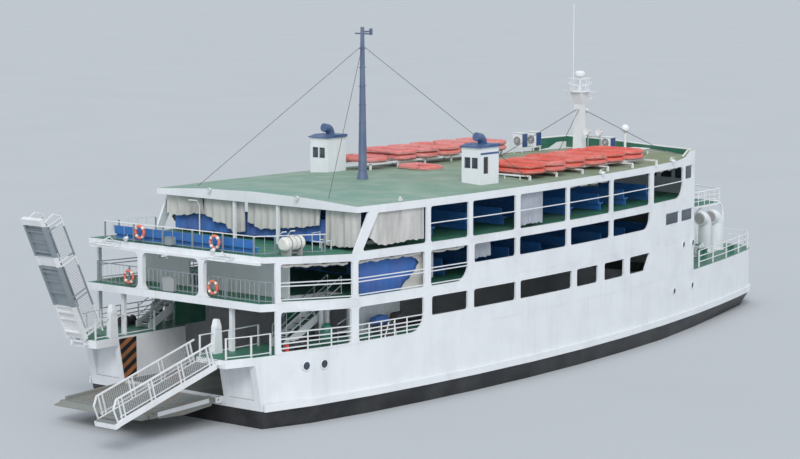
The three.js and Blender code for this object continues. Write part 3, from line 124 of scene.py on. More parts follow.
class Form:
    """Vertices and faces of one piece, with a paint for each face."""

    def __init__(self, paint):
        self.verts, self.faces, self.indices = [], [], []
        self.paints = [paint]
        self.current = 0

    def use(self, paint):
        if paint not in self.paints:
            self.paints.append(paint)
        self.current = self.paints.index(paint)

    def add(self, verts, faces):
        start = len(self.verts)
        self.verts += [Vector(place) for place in verts]
        self.faces += [[start + i for i in face] for face in faces]
        self.indices += [self.current] * len(faces)

    def box(self, low, high):
        xs, ys, zs = zip(low, high)
        self.add([(x, y, z) for z in zs for y in ys for x in xs],
                 [(0, 2, 3, 1), (4, 5, 7, 6), (0, 1, 5, 4), (2, 6, 7, 3), (0, 4, 6, 2), (1, 3, 7, 5)])

    def block(self, x, y, half_x, half_y, z0, z1):
        """A box about an upright middle line."""
        self.box((x - half_x, y - half_y, z0), (x + half_x, y + half_y, z1))

    def grid(self, rows, closed=False):
        """A skin through rows of places; a closed one joins each row's end to its start."""
        wide = len(rows[0])
        reach = wide if closed else wide - 1
        faces = [(start + j, start + (j + 1) % wide, start + wide + (j + 1) % wide, start + wide + j)
                 for start in range(0, (len(rows) - 1) * wide, wide) for j in range(reach)]
        self.add([place for row in rows for place in row], faces)

    def tube(self, places, radius, sides=8, ring=False, squash=1):
        """A round section along a line, or along a closed ring; squash flattens it upright."""
        places = [Vector(place) for place in places]
        count = len(places)
        rows = []
        for i, place in enumerate(places):
            before = places[i - 1] if ring or i else place
            after = places[(i + 1) % count] if ring or i < count - 1 else place
            run = (after - before).normalized()
            across = run.cross(UP if abs(run.z) < 0.95 else Vector((1, 0, 0))).normalized()
            up = across.cross(run)
            width = radius[i] if isinstance(radius, (list, tuple)) else radius
            rows.append([place + width * (math.cos(a) * across + squash * math.sin(a) * up)
                         for a in turns(sides)])
        if ring:
            rows.append(rows[0])
        else:
            self.add(rows[0], [tuple(range(sides))])
            self.add(rows[-1], [tuple(reversed(range(sides)))])
        self.grid([list(row) for row in rows], closed=True)

    def bar(self, start, end, width):
        self.tube([start, end], width * HALF_DIAGONAL, sides=4)

    def lathe(self, centre, axis, profile, sides=20):
        """Rings of (radius, height) around an axis through a place."""
        axis = Vector(axis).normalized()
        across = axis.cross(UP if abs(axis.z) < 0.9 else Vector((1, 0, 0))).normalized()
        other = axis.cross(across)
        self.grid([[Vector(centre) + axis * height + radius * (math.cos(a) * across + math.sin(a) * other)
                    for a in turns(sides)] for radius, height in profile], closed=True)


def piece(name, form, body="ship", smooth=35, turn=None, replaces=()):
    """Makes a form into a piece that rides on a body. turn = (hinge, degrees) tilts it about a hinge."""
    places = form.verts
    if turn:
        hinge, degrees = turn
        tilt = Matrix.Rotation(math.radians(degrees), 3, "Y")
        places = [Vector(hinge) + tilt @ place for place in places]
    mesh = bpy.data.meshes.new(name)
    mesh.from_pydata([at(*place) for place in places], [], form.faces)
    for paint in form.paints:
        mesh.materials.append(paint)
    mesh.polygons.foreach_set("material_index", form.indices)
    shape = bmesh.new()
    shape.from_mesh(mesh)
    bmesh.ops.remove_doubles(shape, verts=shape.verts, dist=MERGE_WITHIN)
    bmesh.ops.recalc_face_normals(shape, faces=shape.faces)
    shape.to_mesh(mesh)
    shape.free()
    mesh.shade_smooth()
    mesh.set_sharp_from_angle(angle=math.radians(smooth))
    thing = bpy.data.objects.new(name, mesh)
    bpy.context.scene.collection.objects.link(thing)
    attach(thing, body)
    if replaces:
        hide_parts(*replaces)
    return thing


# Socket numbers of the nodes whose sockets share their names
VALUE, FROM_LOW, FROM_HIGH, TO_LOW, TO_HIGH = range(5)
FACTOR, COLOUR_A, COLOUR_B, COLOUR_OUT = 0, 6, 7, 2
MAPPED, MAPPING_SCALE = 0, 3
ROUGH_PATCHES = 3.0


class Shade:
    """A material whose nodes are added one by one."""

    def __init__(self, name, roughness=0.5):
        self.material = bpy.data.materials.new(name)
        self.material.use_nodes = True
        self.tree = self.material.node_tree
        self.shader = self.tree.nodes["Principled BSDF"]
        self.shader.inputs["Roughness"].default_value = roughness
        self.coords = self.add("ShaderNodeTexCoord").outputs["Object"]
        self.x, _, self.z = self.add("ShaderNodeSeparateXYZ", {0: self.coords}).outputs
        normal = self.add("ShaderNodeNewGeometry").outputs["Normal"]
        _, _, self.facing_z = self.add("ShaderNodeSeparateXYZ", {0: normal}).outputs

    def add(self, kind, inputs=None, **settings):
        node = self.tree.nodes.new(kind)
        for key, value in settings.items():
            setattr(node, key, value)
        for key, value in (inputs or {}).items():
            if isinstance(value, bpy.types.NodeSocket):
                self.tree.links.new(value, node.inputs[key])
            else:
                node.inputs[key].default_value = value
        return node

    def math(self, operation, a, b=0, clamp=False):
        return self.add("ShaderNodeMath", {0: a, 1: b}, operation=operation, use_clamp=clamp).outputs[0]

    def times(self, a, b, clamp=False):
        return self.math("MULTIPLY", a, b, clamp)

    def ramp(self, value, low, high):
        """0 below low, 1 above high."""
        inputs = {VALUE: value, FROM_LOW: low, FROM_HIGH: high, TO_LOW: 0, TO_HIGH: 1}
        return self.add("ShaderNodeMapRange", inputs).outputs[0]

    def up(self, low=0.55, high=0.75):
        """1 on what faces up."""
        return self.ramp(self.facing_z, low, high)

    def noise(self, scale, detail=4, coords=None):
        inputs = {"Vector": coords or self.coords, "Scale": scale, "Detail": detail}
        return self.add("ShaderNodeTexNoise", inputs).outputs["Fac"]

    def patches(self, scale, detail, low, high, coords=None):
        """Soft spots: 1 where the noise is above high."""
        return self.ramp(self.noise(scale, detail, coords), low, high)

    def mix(self, factor, a, b):
        node = self.add("ShaderNodeMix", {FACTOR: factor, COLOUR_A: a, COLOUR_B: b}, data_type="RGBA")
        return node.outputs[COLOUR_OUT]

    def plug(self, output, name):
        self.tree.links.new(output, self.shader.inputs[name])

    def done(self, colour, rough=None, bump=None):
        """The material with its colour, its span of roughness and its bump.

        bump = (scale, detail, strength, distance).
        """
        self.plug(colour, "Base Color")
        if rough:
            inputs = {VALUE: self.noise(ROUGH_PATCHES), TO_LOW: rough[0], TO_HIGH: rough[1]}
            self.plug(self.add("ShaderNodeMapRange", inputs).outputs[0], "Roughness")
        if bump:
            scale, detail, strength, distance = bump
            inputs = {"Height": self.noise(scale, detail), "Strength": strength, "Distance": distance}
            self.plug(self.add("ShaderNodeBump", inputs).outputs[0], "Normal")
        return self.material


def rgb(r, g, b):
    return (r, g, b, 1)


def tinted(colour, factor, lift=0):
    return rgb(*(c * factor + lift for c in colour[:3]))


WHITE = rgb(0.79, 0.81, 0.83)
DIRT = rgb(0.34, 0.33, 0.30)
RUST = rgb(0.30, 0.13, 0.06)
BLACK = rgb(0.012, 0.013, 0.016)
DECK_GREEN = rgb(0.035, 0.16, 0.10)

# Spans of roughness
SMOOTH = (0.3, 0.5)
ENAMEL = (0.32, 0.55)
WORN = (0.35, 0.6)
MATT = (0.5, 0.75)
COARSE = (0.5, 0.8)

# Scale, detail, strength and distance of a bump
PAINT_BUMP = (9, 3, 0.12, 0.01)
DECK_BUMP = (14, 4, 0.15, 0.01)
PLATE_BUMP = (1.2, 2, 0.25, 0.02)

# Heights and places of the colours' edges, in metres of the model
PAINT_LINE = 0.004
CAR_SPACE_TOP = (1.2, 1.25)
# Where the after rails get painted shade: the heights of deck two's rail, those of deck three's below its top
# bar, and how far aft
DECK_TWO_RAIL_SHADE = ((2.7, 2.71), (3.76, 3.75))
DECK_THREE_RAIL_SHADE = ((4, 4.01), (3.99, 3.985))
RAIL_SHADE_AFT_OF = (-9.8, -9.9)
ROOF_FADE = (-9, 5.5)


def weathered(shade, base, amount, dirt=DIRT, streak=0.5):
    """A base colour with soft patches and runs down the plating."""
    stretch = {MAPPED: shade.coords, MAPPING_SCALE: (1, 1, 0.08)}
    drawn_down = shade.add("ShaderNodeMapping", stretch).outputs[0]
    runs = shade.patches(6, 5, 0.52, 0.78, drawn_down)
    grime = shade.math("ADD", shade.patches(1.3, 6, 0.45, 0.75), shade.times(runs, streak))
    return shade.mix(shade.times(grime, amount, clamp=True), base, dirt)


def painted(name, base, rough=ENAMEL, dirt=DIRT, amount=0.3, streak=0.5):
    shade = Shade(name)
    return shade.done(weathered(shade, base, amount, dirt, streak), rough, PAINT_BUMP)


def deck_paint():
    """Worn green on what faces up, white on edges and undersides."""
    shade = Shade("deck_paint")
    worn = shade.mix(shade.patches(2.2, 8, 0.42, 0.7), DECK_GREEN, tinted(DECK_GREEN, 1.5))
    walked = shade.mix(shade.patches(0.5, 3, 0.5, 0.8), worn, DIRT)
    top = shade.mix(0.75, walked, worn)
    return shade.done(shade.mix(shade.up(), weathered(shade, WHITE, 0.25), top), MATT, DECK_BUMP)


def roof_paint():
    """Faded deck paint, bluer aft and browner forward, with white edges."""
    shade = Shade("roof_paint")
    tint = shade.mix(shade.ramp(shade.x, *ROOF_FADE), rgb(0.19, 0.34, 0.27), rgb(0.21, 0.24, 0.13))
    pale = shade.mix(0.5, tint, rgb(0.42, 0.50, 0.42))
    worn = shade.mix(shade.patches(1.1, 8, 0.42, 0.72), tint, pale)
    top = shade.mix(shade.times(shade.patches(0.45, 4, 0.5, 0.8), 0.35), worn, DIRT)
    return shade.done(shade.mix(shade.up(), weathered(shade, WHITE, 0.15), top), MATT, DECK_BUMP)


def stair_paint():
    """White stringers and dark treads."""
    shade = Shade("stair_paint")
    stringer = weathered(shade, WHITE, 0.15)
    return shade.done(shade.mix(shade.up(0.94, 0.98), stringer, rgb(0.02, 0.07, 0.055)), (0.4, 0.65))


def hull_paint():
    """Black below the strake, white above, deck green on top and grey in the car space."""
    shade = Shade("hull_paint")
    line = STRAKE_FOOT * SCALE
    wet = shade.mix(shade.patches(1.5, 6, 0.4, 0.8), BLACK, rgb(0.05, 0.05, 0.05))
    above = shade.ramp(shade.z, line - PAINT_LINE, line + PAINT_LINE)
    outer = shade.mix(above, wet, weathered(shade, WHITE, 0.13, streak=0.9))
    floor = shade.mix(shade.patches(1.2, 6, 0.35, 0.75), rgb(0.06, 0.075, 0.07), rgb(0.13, 0.12, 0.11))
    deck = shade.mix(shade.patches(2.2, 8, 0.42, 0.7), DECK_GREEN, rgb(0.06, 0.22, 0.15))
    top = shade.mix(shade.ramp(shade.z, *CAR_SPACE_TOP), floor, deck)
    return shade.done(shade.mix(shade.up(), outer, top), (0.3, 0.55), PLATE_BUMP)


def rail_paint():
    """White enamel, with painted shade: blue-grey aft on the rail of deck two and on all but the top bar of
    deck three's.
    """
    shade = Shade("rail_paint")
    # Painted shade over the heights of deck two's rail and of deck three's below its top bar
    low = shade.times(*(shade.ramp(shade.z, *edge) for edge in DECK_TWO_RAIL_SHADE))
    lifted = shade.math("ADD", shade.z, shade.times(shade.x, SHEER))
    high = shade.times(shade.ramp(shade.z, *DECK_THREE_RAIL_SHADE[0]), shade.ramp(lifted, *DECK_THREE_RAIL_SHADE[1]))
    # The painted shade's mask, kept aft; it turns the white enamel blue-grey
    grey = shade.times(shade.math("ADD", low, high, clamp=True), shade.ramp(shade.x, *RAIL_SHADE_AFT_OF))
    base = shade.mix(grey, rgb(0.80, 0.81, 0.82), rgb(0.25, 0.29, 0.32))
    return shade.done(weathered(shade, base, 0.2), ENAMEL)


def cloth(name, base, dirt, weave=90, amount=0.45, streak=0.9, relief=0.25):
    shade = Shade(name, roughness=0.9)
    return shade.done(weathered(shade, base, amount, dirt, streak), bump=(weave, 2, relief, 0.004))


def rubber(name, base):
    shade = Shade(name)
    worn = shade.mix(shade.patches(1.1, 5, 0.4, 0.65), base, tinted(base, 0.8, 0.12))
    stained = shade.mix(shade.patches(5, 6, 0.55, 0.8), worn, rgb(0.30, 0.10, 0.07))
    return shade.done(stained, (0.55, 0.85), (22, 4, 0.3, 0.01))


# Window glass: dark, painted shade for the dim spaces behind the panes, with paler bluish patches
def pane():
    shade = Shade("window_glass")
    # Paler bluish patches over the glass's dark, which is painted shade
    paler_patches = shade.patches(0.8, 4, 0.35, 0.7)
    return shade.done(shade.mix(paler_patches, rgb(0.02, 0.03, 0.045), rgb(0.10, 0.13, 0.17)), (0.08, 0.3))


def striped():
    """Orange and black slanting bands."""
    shade = Shade("hazard_stripes", roughness=0.6)
    slant = shade.math("SUBTRACT", shade.z, shade.times(shade.x, 0.6))
    band = shade.math("GREATER_THAN", shade.math("FRACT", shade.times(slant, 3.6)), 0.5)
    bright = weathered(shade, rgb(0.42, 0.16, 0.06), 0.6, rgb(0.12, 0.06, 0.04), 0.9)
    return shade.done(shade.mix(band, bright, BLACK), bump=(9, 3, 0.2, 0.01))


# Painted surfaces: base colour, span of roughness, colour of the dirt, its share and that of its runs
SLOT_PAINTS = {
    "white_paint": (WHITE, ENAMEL, DIRT, 0.13, 0.8),
    "funnel_paint": (rgb(0.03, 0.09, 0.24),),
    "mast_paint": (rgb(0.10, 0.14, 0.24),),
    "float_paint": (rgb(0.72, 0.10, 0.06), MATT, rgb(0.80, 0.36, 0.27), 0.5),
    "raft_shell": (rgb(0.75, 0.74, 0.68), (0.25, 0.45), DIRT, 0.25),
    "galvanised": (rgb(0.36, 0.38, 0.39), WORN, RUST),
    "seat_plastic": (rgb(0.04, 0.20, 0.58), SMOOTH, DIRT, 0.15),
    "ramp_steel": (rgb(0.24, 0.26, 0.24), COARSE, RUST, 0.45),
    "bronze": (rgb(0.42, 0.27, 0.10), SMOOTH, DIRT, 0.2),
    "hull_dark": (BLACK, (0.4, 0.6), DIRT, 0.1),
}
TRIM_PAINTS = {
    "grey_rail": (rgb(0.42, 0.45, 0.46), WORN, RUST),
    "dark_iron": (rgb(0.05, 0.055, 0.06), (0.4, 0.7), RUST),
    "grating": (rgb(0.20, 0.22, 0.22), COARSE, RUST, 0.4),
    "buoy_white": (rgb(0.80, 0.78, 0.74), ENAMEL, DIRT, 0.35),
    "green_panel": (rgb(0.02, 0.14, 0.09),),
    "red": (rgb(0.55, 0.04, 0.03), SMOOTH),
    "lamp": (rgb(0.85, 0.86, 0.86), (0.2, 0.35), DIRT, 0.2),
    "blue_panel": (rgb(0.02, 0.07, 0.22), ENAMEL, DIRT, 0.2),
}
RUBBERS = {
    "near_raft": rgb(0.72, 0.11, 0.075),
    "far_raft": rgb(0.72, 0.20, 0.18),
    "buoy_orange": rgb(0.75, 0.17, 0.10),
}
CLOTHS = {
    "rope": (rgb(0.55, 0.53, 0.48), rgb(0.2, 0.18, 0.15), 140),
    "raft_net": (rgb(0.10, 0.02, 0.015), rgb(0.04, 0.02, 0.02)),
    "pale_cloth": (rgb(0.60, 0.58, 0.53), rgb(0.30, 0.28, 0.25)),
    "grey_cloth": (rgb(0.42, 0.45, 0.50), rgb(0.20, 0.21, 0.24)),
    "blue_cloth": (rgb(0.06, 0.17, 0.48), rgb(0.12, 0.10, 0.24)),
}

# One material for each of the record's slots, and one of their own for the stairs
slot_materials = {name: painted(name, *look) for name, look in SLOT_PAINTS.items()}
slot_materials.update({
    "hull_paint": hull_paint(),
    "rail_paint": rail_paint(),
    "deck_paint": deck_paint(),
    "roof_paint": roof_paint(),
    "canvas": cloth("canvas", rgb(0.60, 0.585, 0.56), rgb(0.30, 0.285, 0.27), 60, 0.55, 1, 0.2),
})
STAIR_PAINT = stair_paint()
for row in frame["record"]["subparts"]:
    mesh = nodes[row["node"]].data
    mesh.materials.clear()
    is_stair = row["node"].startswith("stair_")
    mesh.materials.append(STAIR_PAINT if is_stair else slot_materials[row["material_slot"]])

# Paints that only Blender's pieces use
paints = {name: painted(name, *look) for name, look in TRIM_PAINTS.items()}
paints.update({name: rubber(name, base) for name, base in RUBBERS.items()})
paints.update({name: cloth(name, *look) for name, look in CLOTHS.items()})
WHITE_PAINT = slot_materials["white_paint"]
RAIL_PAINT = slot_materials["rail_paint"]
CANVAS = slot_materials["canvas"]
GREY_RAIL = paints["grey_rail"]
DARK_IRON = paints["dark_iron"]
GREEN_PANEL = paints["green_panel"]
GLASS = pane()


# Rails
BALUSTER = 0.018
DECK_TWO_RAIL = [(-14.18, -6.12), (-14.6, -5.6), (-14.6, 5.6), (-14.18, 6.12)]
DECK_THREE_RAIL = [(-10.2, -5.94), (-13.28, -5.47), (-14.5, -5.2),
                   (-14.5, 5.2), (-13.28, 5.47), (-10.2, 5.94)]
RAIL_HEIGHT = 1.05
UPPER_RAIL_HEIGHT = 0.95


def posts(path, step):
    """For each side of a line, evenly spread places along it, both ends included."""
    return [[(x0 + (x1 - x0) * part, y0 + (y1 - y0) * part)
             for part in spaced(0, 1, step / math.hypot(x1 - x0, y1 - y0))]
            for (x0, y0), (x1, y1) in zip(path, path[1:])]


def balusters(name, path, base, height, step):
    form = Form(GREY_RAIL)
    for side in posts(path, step):
        for x, y in side[:-1]:
            form.bar(risen(x, y, base + 0.01), risen(x, y, base + height - 0.03), BALUSTER)
    return piece(name, form)


balusters("balusters_deck_two", DECK_TWO_RAIL, DECK_TWO[1], RAIL_HEIGHT, 0.3)
balusters("balusters_deck_three", DECK_THREE_RAIL, DECK_THREE[1], UPPER_RAIL_HEIGHT, 0.7)


# Gangways, in the frame that has its origin at the hinge
GANG_FOOT = -6.85
GANG_HEAD = -0.35
GANG_HALF = 0.65
GANG_RAIL = 1.1
GANG_RUNG = 0.12
GANG_BAR = 0.026
GANG_TREAD = 0.3
GANG_BEARER = 0.72
GANG_HINGE = (-16.97, 4.55, 3.5)
GANG_DOWN = -16.0
GANG_UP = 65.6


def gangway_trim(side, name, pitch):
    """The rails' bars, the grating with its treads, the foot's flap and the bearers."""
    form = Form(GREY_RAIL)
    for y in (-GANG_HALF, GANG_HALF):
        for x in spaced(GANG_FOOT + 0.2, GANG_HEAD, GANG_RUNG):
            form.bar((x, y, 0.22), (x, y, GANG_RAIL - 0.02), GANG_BAR)
    form.use(paints["grating"])
    form.box((GANG_FOOT + 0.02, 0.055 - GANG_HALF, 0.031), (GANG_HEAD + 0.03, GANG_HALF - 0.055, 0.04))
    for x in spaced(GANG_FOOT + 0.15, GANG_HEAD, GANG_TREAD):
        form.block(x, 0, 0.02, GANG_HALF - 0.06, 0.038, 0.06)
    form.box((GANG_FOOT - 0.28, -GANG_HALF, 0.015), (GANG_FOOT + 0.1, GANG_HALF, 0.04))
    form.use(RAIL_PAINT)
    for x in spaced(GANG_FOOT + 0.3, GANG_HEAD - 0.25, GANG_BEARER):
        form.block(x, 0, 0.03, GANG_HALF - 0.04, -0.12, -0.052)
    hinge = (GANG_HINGE[0], side * GANG_HINGE[1], GANG_HINGE[2])
    return piece(f"gangway_trim_{name}", form, f"gangway_{name}_body", turn=(hinge, pitch))


gangway_trim(-1, "starboard", GANG_DOWN)
gangway_trim(1, "port", GANG_UP)


# Rafts: rounded tubes in rings, two layers to a stack, on racks
RAFT_WIDTH = 1.75
RAFT_RIM = 0.36
RAFT_TUBE = 0.3
RAFT_CORNER = 0.34
NET_CORNER = 0.16
NET_OVERLAP = 0.06
NET_THICKNESS = 0.02
ROPE_RADIUS = 0.014
LACING_STEP = 0.4
LACING_RADIUS = 0.02
RACK_BAR = 0.05
RACK_STEP = 2.6
# Each stack's x, y, layers, length and turn in degrees
STARBOARD_STACKS = [(7.3, -4.35, 2, 3.5, 86), (9.25, -4.3, 2, 3.5, 84), (11.55, -3.9, 2, 3.6, 86),
                    (13.8, -3.8, 2, 3.6, 87), (15.85, -3.6, 2, 3.6, 86), (17.85, -3.5, 2, 3.6, 88)]
PORT_STACKS = [(4.95, 4.85, 1, 3.2, 87), (7.2, 4.6, 2, 3.2, 86), (9.2, 4.6, 2, 3.2, 88),
               (11.2, 4.6, 2, 3.2, 86), (13.3, 4.5, 2, 3.2, 88), (15.3, 4.4, 2, 3.2, 87)]
STARBOARD_RACK = {"rise": 0.06, "rails": (-2.7, -4.9), "outer": -6.0}
PORT_RACK = {"rise": 0.3, "rails": (3.4, 5.6), "outer": 5.9}
ROOF_CROWN = ROOF[1] + CAMBER


def ring_path(length, inset, corner, turn, centre, steps=5):
    """A raft's rounded outline, set in from its edge and turned about its centre."""
    half_length, half_width = length / 2 - inset, RAFT_WIDTH / 2 - inset
    path = []
    for sx, sy, start in ((1, 1, 0), (-1, 1, 90), (-1, -1, 180), (1, -1, 270)):
        for k in range(steps + 1):
            angle = math.radians(start + 90 * k / steps)
            path.append((sx * (half_length - corner) + corner * math.cos(angle),
                         sy * (half_width - corner) + corner * math.sin(angle)))
    spin = math.radians(turn)
    return [Vector((centre[0] + u * math.cos(spin) - v * math.sin(spin),
                    centre[1] + u * math.sin(spin) + v * math.cos(spin), centre[2])) for u, v in path]


def raft(form, paint, foot, layers, length, turn):
    """Layers of a round tube with a net floor, a slack rope around it and lacing across."""
    x, y, z = foot
    spin = Matrix.Rotation(math.radians(turn), 3, "Z")
    reach = RAFT_WIDTH / 2 - RAFT_RIM
    for layer in range(layers):
        middle = z + RAFT_TUBE * (layer + 0.5)
        centre = (x, y, middle)
        form.use(paint)
        path = ring_path(length, RAFT_RIM / 2 + 0.01, RAFT_CORNER, turn, centre)
        radii = [RAFT_RIM / 2 * random.uniform(0.93, 1) for _ in path]
        form.tube(path, radii, 12, ring=True, squash=RAFT_TUBE / RAFT_RIM)
        form.use(paints["raft_net"])
        net = ring_path(length, RAFT_RIM - NET_OVERLAP, NET_CORNER, turn, (x, y, middle - NET_THICKNESS))
        for drop, order in ((0, 1), (NET_THICKNESS, -1)):
            form.add([place - UP * drop for place in net], [tuple(range(len(net)))[::order]])
        form.use(paints["rope"])
        loops = ring_path(length, 0.03, RAFT_CORNER + 0.1, turn, centre, 3)
        form.tube([place + UP * random.uniform(-0.08, 0.02) for place in loops], ROPE_RADIUS, 5, ring=True)
        for u in spaced(0.35 - length / 2, length / 2 - 0.35, LACING_STEP):
            ends = [Vector(centre) + spin @ Vector((u, v, -0.05)) for v in (-reach, reach)]
            form.tube(ends, LACING_RADIUS, 5)


def rack(form, stacks, plan):
    outer, rails = plan["outer"], plan["rails"]
    top = ROOF_CROWN + plan["rise"]
    first = min(stack[0] for stack in stacks) - 0.9
    last = max(stack[0] for stack in stacks) + 0.8
    form.use(RAIL_PAINT)
    for y in rails:
        form.box((first, y - RACK_BAR, top - 0.1), (last, y + RACK_BAR, top))
    low, high = min(rails[0], outer), max(rails[0], outer)
    for x in spaced(first + RACK_BAR, last - RACK_BAR, RACK_STEP):
        form.box((x - RACK_BAR, low, top - 0.1), (x + RACK_BAR, high, top - 0.02))
        for y in (rails[0], outer):
            form.block(x, y, RACK_BAR, RACK_BAR, roof_top(x, y) - 0.02, top - 0.05)


def stacked(name, stacks, plan, paint):
    form = Form(paint)
    for x, y, layers, length, turn in stacks:
        raft(form, paint, (x, y, ROOF_CROWN + plan["rise"]), layers, length, turn)
    rack(form, stacks, plan)
    return piece(f"rafts_{name}", form, smooth=60, replaces=[f"floats_{name}"])


stacked("starboard", STARBOARD_STACKS, STARBOARD_RACK, paints["near_raft"])
stacked("port", PORT_STACKS, PORT_RACK, paints["far_raft"])
form = Form(paints["far_raft"])
raft(form, paints["far_raft"], (6.3, 1.6, ROOF[1] + 0.2), 1, 2.6, 80)
piece("raft_loose", form, smooth=60, replaces=["float_loose"])


# Canvas and tarpaulins
CLOTH_CELL = 0.085
CLOTH_SETTINGS = {"quality": 6, "mass": 0.3, "tension_stiffness": 40, "compression_stiffness": 40,
                  "bending_stiffness": 0.8, "vertex_group_mass": "held"}
CLOTH_GRAVITY = 0.6
CLOTH_FRAMES = 22
TIE_EVERY = 3
TIE_REACH = 0.004


def folds(along, down, seed, depth):
    """How far cloth stands off its plane, more so further down."""
    wave = (math.sin(along * 6.1 + seed + 0.8 * math.sin(along * 1.3))
            + 0.6 * math.sin(along * 13.3 + 2.2 * seed)
            + 0.3 * math.sin(along * 23.0 + seed * seed))
    return depth * (0.3 + 0.7 * down) * wave / 1.9


def settle(thing):
    """Lets a sheet sag under its own weight, held by the vertices in its group."""
    modifier = thing.modifiers.new("cloth", "CLOTH")
    for key, value in CLOTH_SETTINGS.items():
        setattr(modifier.settings, key, value)
    modifier.settings.effector_weights.gravity = CLOTH_GRAVITY
    modifier.collision_settings.use_collision = False
    scene = bpy.context.scene
    for number in range(1, CLOTH_FRAMES + 1):
        scene.frame_set(number)
    bpy.context.view_layer.objects.active = thing
    bpy.ops.object.modifier_apply(modifier="cloth")
    scene.frame_set(1)


def hung(name, paint, top, foot, seed, depth, replaces=(),
         normal=(-1, 0, 0), soft=True):
    """Cloth between two lines of places, head and foot, given as functions of the share along them."""
    length = (top(1) - top(0)).length
    columns = max(6, round(length / CLOTH_CELL))
    rows = max(4, round((top(0.5) - foot(0.5)).length / CLOTH_CELL))
    skin = []
    for i in range(rows + 1):
        down = i / rows
        row = []
        for j in range(columns + 1):
            share = j / columns
            along = share * length
            ragged = 0.05 * down * math.sin(along * 5.1 + seed) * math.sin(along * 11.7)
            place = top(share).lerp(foot(share), down)
            row.append(place + Vector(normal) * folds(along, down, seed, depth) + UP * ragged)
        skin.append(row)
    form = Form(paint)
    form.grid(skin)
    thing = piece(name, form, smooth=80, replaces=replaces)
    if soft:
        holders = thing.vertex_groups.new(name="held")
        ties = [at(*place) for place in skin[0][::TIE_EVERY]]
        tied = [vertex.index for vertex in thing.data.vertices
                if min((vertex.co - tie).length for tie in ties) < TIE_REACH]
        holders.add(tied, 1, "REPLACE")
        settle(thing)
    return thing


def polyline(places):
    """Walks a line of places by a share of its length."""
    places = [Vector(place) for place in places]
    lengths = [0]
    for a, b in zip(places, places[1:]):
        lengths.append(lengths[-1] + (b - a).length)

    def walk(share):
        goal = share * lengths[-1]
        for i in range(len(places) - 1):
            if goal <= lengths[i + 1] or i == len(places) - 2:
                part = (goal - lengths[i]) / max(1e-6, lengths[i + 1] - lengths[i])
                return places[i].lerp(places[i + 1], part)
    return walk


CURTAIN_X = -8.63
HEAD = ROOF[0] - 0.02


def aft_curtain(name, y0, y1, foots, seed, replaces=()):
    """One width of the torn canvas under the roof's after edge; foots are heights at evenly spread places."""
    count = len(foots) - 1
    top = polyline([(CURTAIN_X, y0, HEAD), (CURTAIN_X, y1, HEAD)])
    foot = polyline([(CURTAIN_X, y0 + (y1 - y0) * k / count, z) for k, z in enumerate(foots)])
    return hung(name, CANVAS, top, foot, seed, 0.13, replaces=replaces)


aft_curtain("curtain_aft_port", 6.65, 3.95, (9.1, 9.05, 9.2, 9.3), 1)
aft_curtain("curtain_aft_middle", 3.9, 0.95, (9.25, 8.95, 8.85, 8.45, 8.6), 2, ["curtain_aft"])
aft_curtain("curtain_aft_starboard", 0.75, -4.25, (9.1, 8.8, 8.85, 8.95, 9.05, 9.15, 9.3), 3)
aft_curtain("curtain_aft_corner", -4.6, -6.95, (8.35, 8.3, 8.32, 8.4), 4)

# Canvas inside the first upper bay: the places of its head and foot, as (x, z)
BAY_ONE_HEAD = [(x, 10.04) for x in (-7.55, -6.4, -5.2, -4.02)]
BAY_ONE_FOOT = [(-8.15, 8.95), (-7.45, 8.4), (-6.4, 8.36), (-5.2, 8.44), (-4.02, 8.42)]
BAY_ONE_INSET = 0.16
for side, name, seed in ((-1, "starboard", 5), (1, "port", 6)):
    top, foot = (polyline([plating(x, z, BAY_ONE_INSET, side) for x, z in line])
                 for line in (BAY_ONE_HEAD, BAY_ONE_FOOT))
    hung(f"curtain_side_cloth_{name}", CANVAS, top, foot, seed, 0.045,
         replaces=[f"curtain_side_{name}"], normal=(0, side, 0))

MIDDLE_HEAD = 7.76


def side_cloth(name, paint, x0, x1, head, foots, seed, inset):
    """Cloth inside the side plating, between two places along it."""
    count = len(foots) - 1
    top = polyline([plating(x0 + (x1 - x0) * k / 6, head, inset) for k in range(7)])
    foot = polyline([plating(x0 + (x1 - x0) * k / count, z, inset) for k, z in enumerate(foots)])
    return hung(name, paint, top, foot, seed, 0.06, normal=(0, -1, 0))


side_cloth("tarp_upper_bay_four", paints["grey_cloth"], 4, 6.4, HEAD, (8.3, 8.35, 8.3), 7, 0.3)
side_cloth("tarp_middle_bay_two", paints["blue_cloth"], -8.3, -4, MIDDLE_HEAD, (5.85, 5.8, 5.88), 8, 0.6)
TARP_Y = 6.9
for side, name in ((-1, "starboard"), (1, "port")):
    y = side * TARP_Y
    edge = polyline([(-3.62, y, 5.79), (-3.62, y, 7.77)])
    loose = polyline([(-5.64, y, 5.86), (-4.03, y, 7.15), (-4.94, y, 7.77)])
    hung(f"tarp_middle_bay_two_{name}", paints["pale_cloth"], edge, loose, 9, 0.05,
         normal=(0, side, 0), soft=False)
side_cloth("tarp_middle_bay_three", paints["grey_cloth"], -3.6, -3, MIDDLE_HEAD, (6.2, 6.3), 10, 0.4)
side_cloth("tarp_middle_bay_four", paints["grey_cloth"], 0.2, 1.9, MIDDLE_HEAD, (6.9, 6.95), 11, 0.5)

LINING_X = -8.3
lining_head, lining_foot = (polyline([(LINING_X, 6.4, z), (LINING_X, -6.2, z)]) for z in (9.55, 8.35))
hung("blue_lining", paints["blue_cloth"], lining_head, lining_foot, 12, 0.06, soft=False)

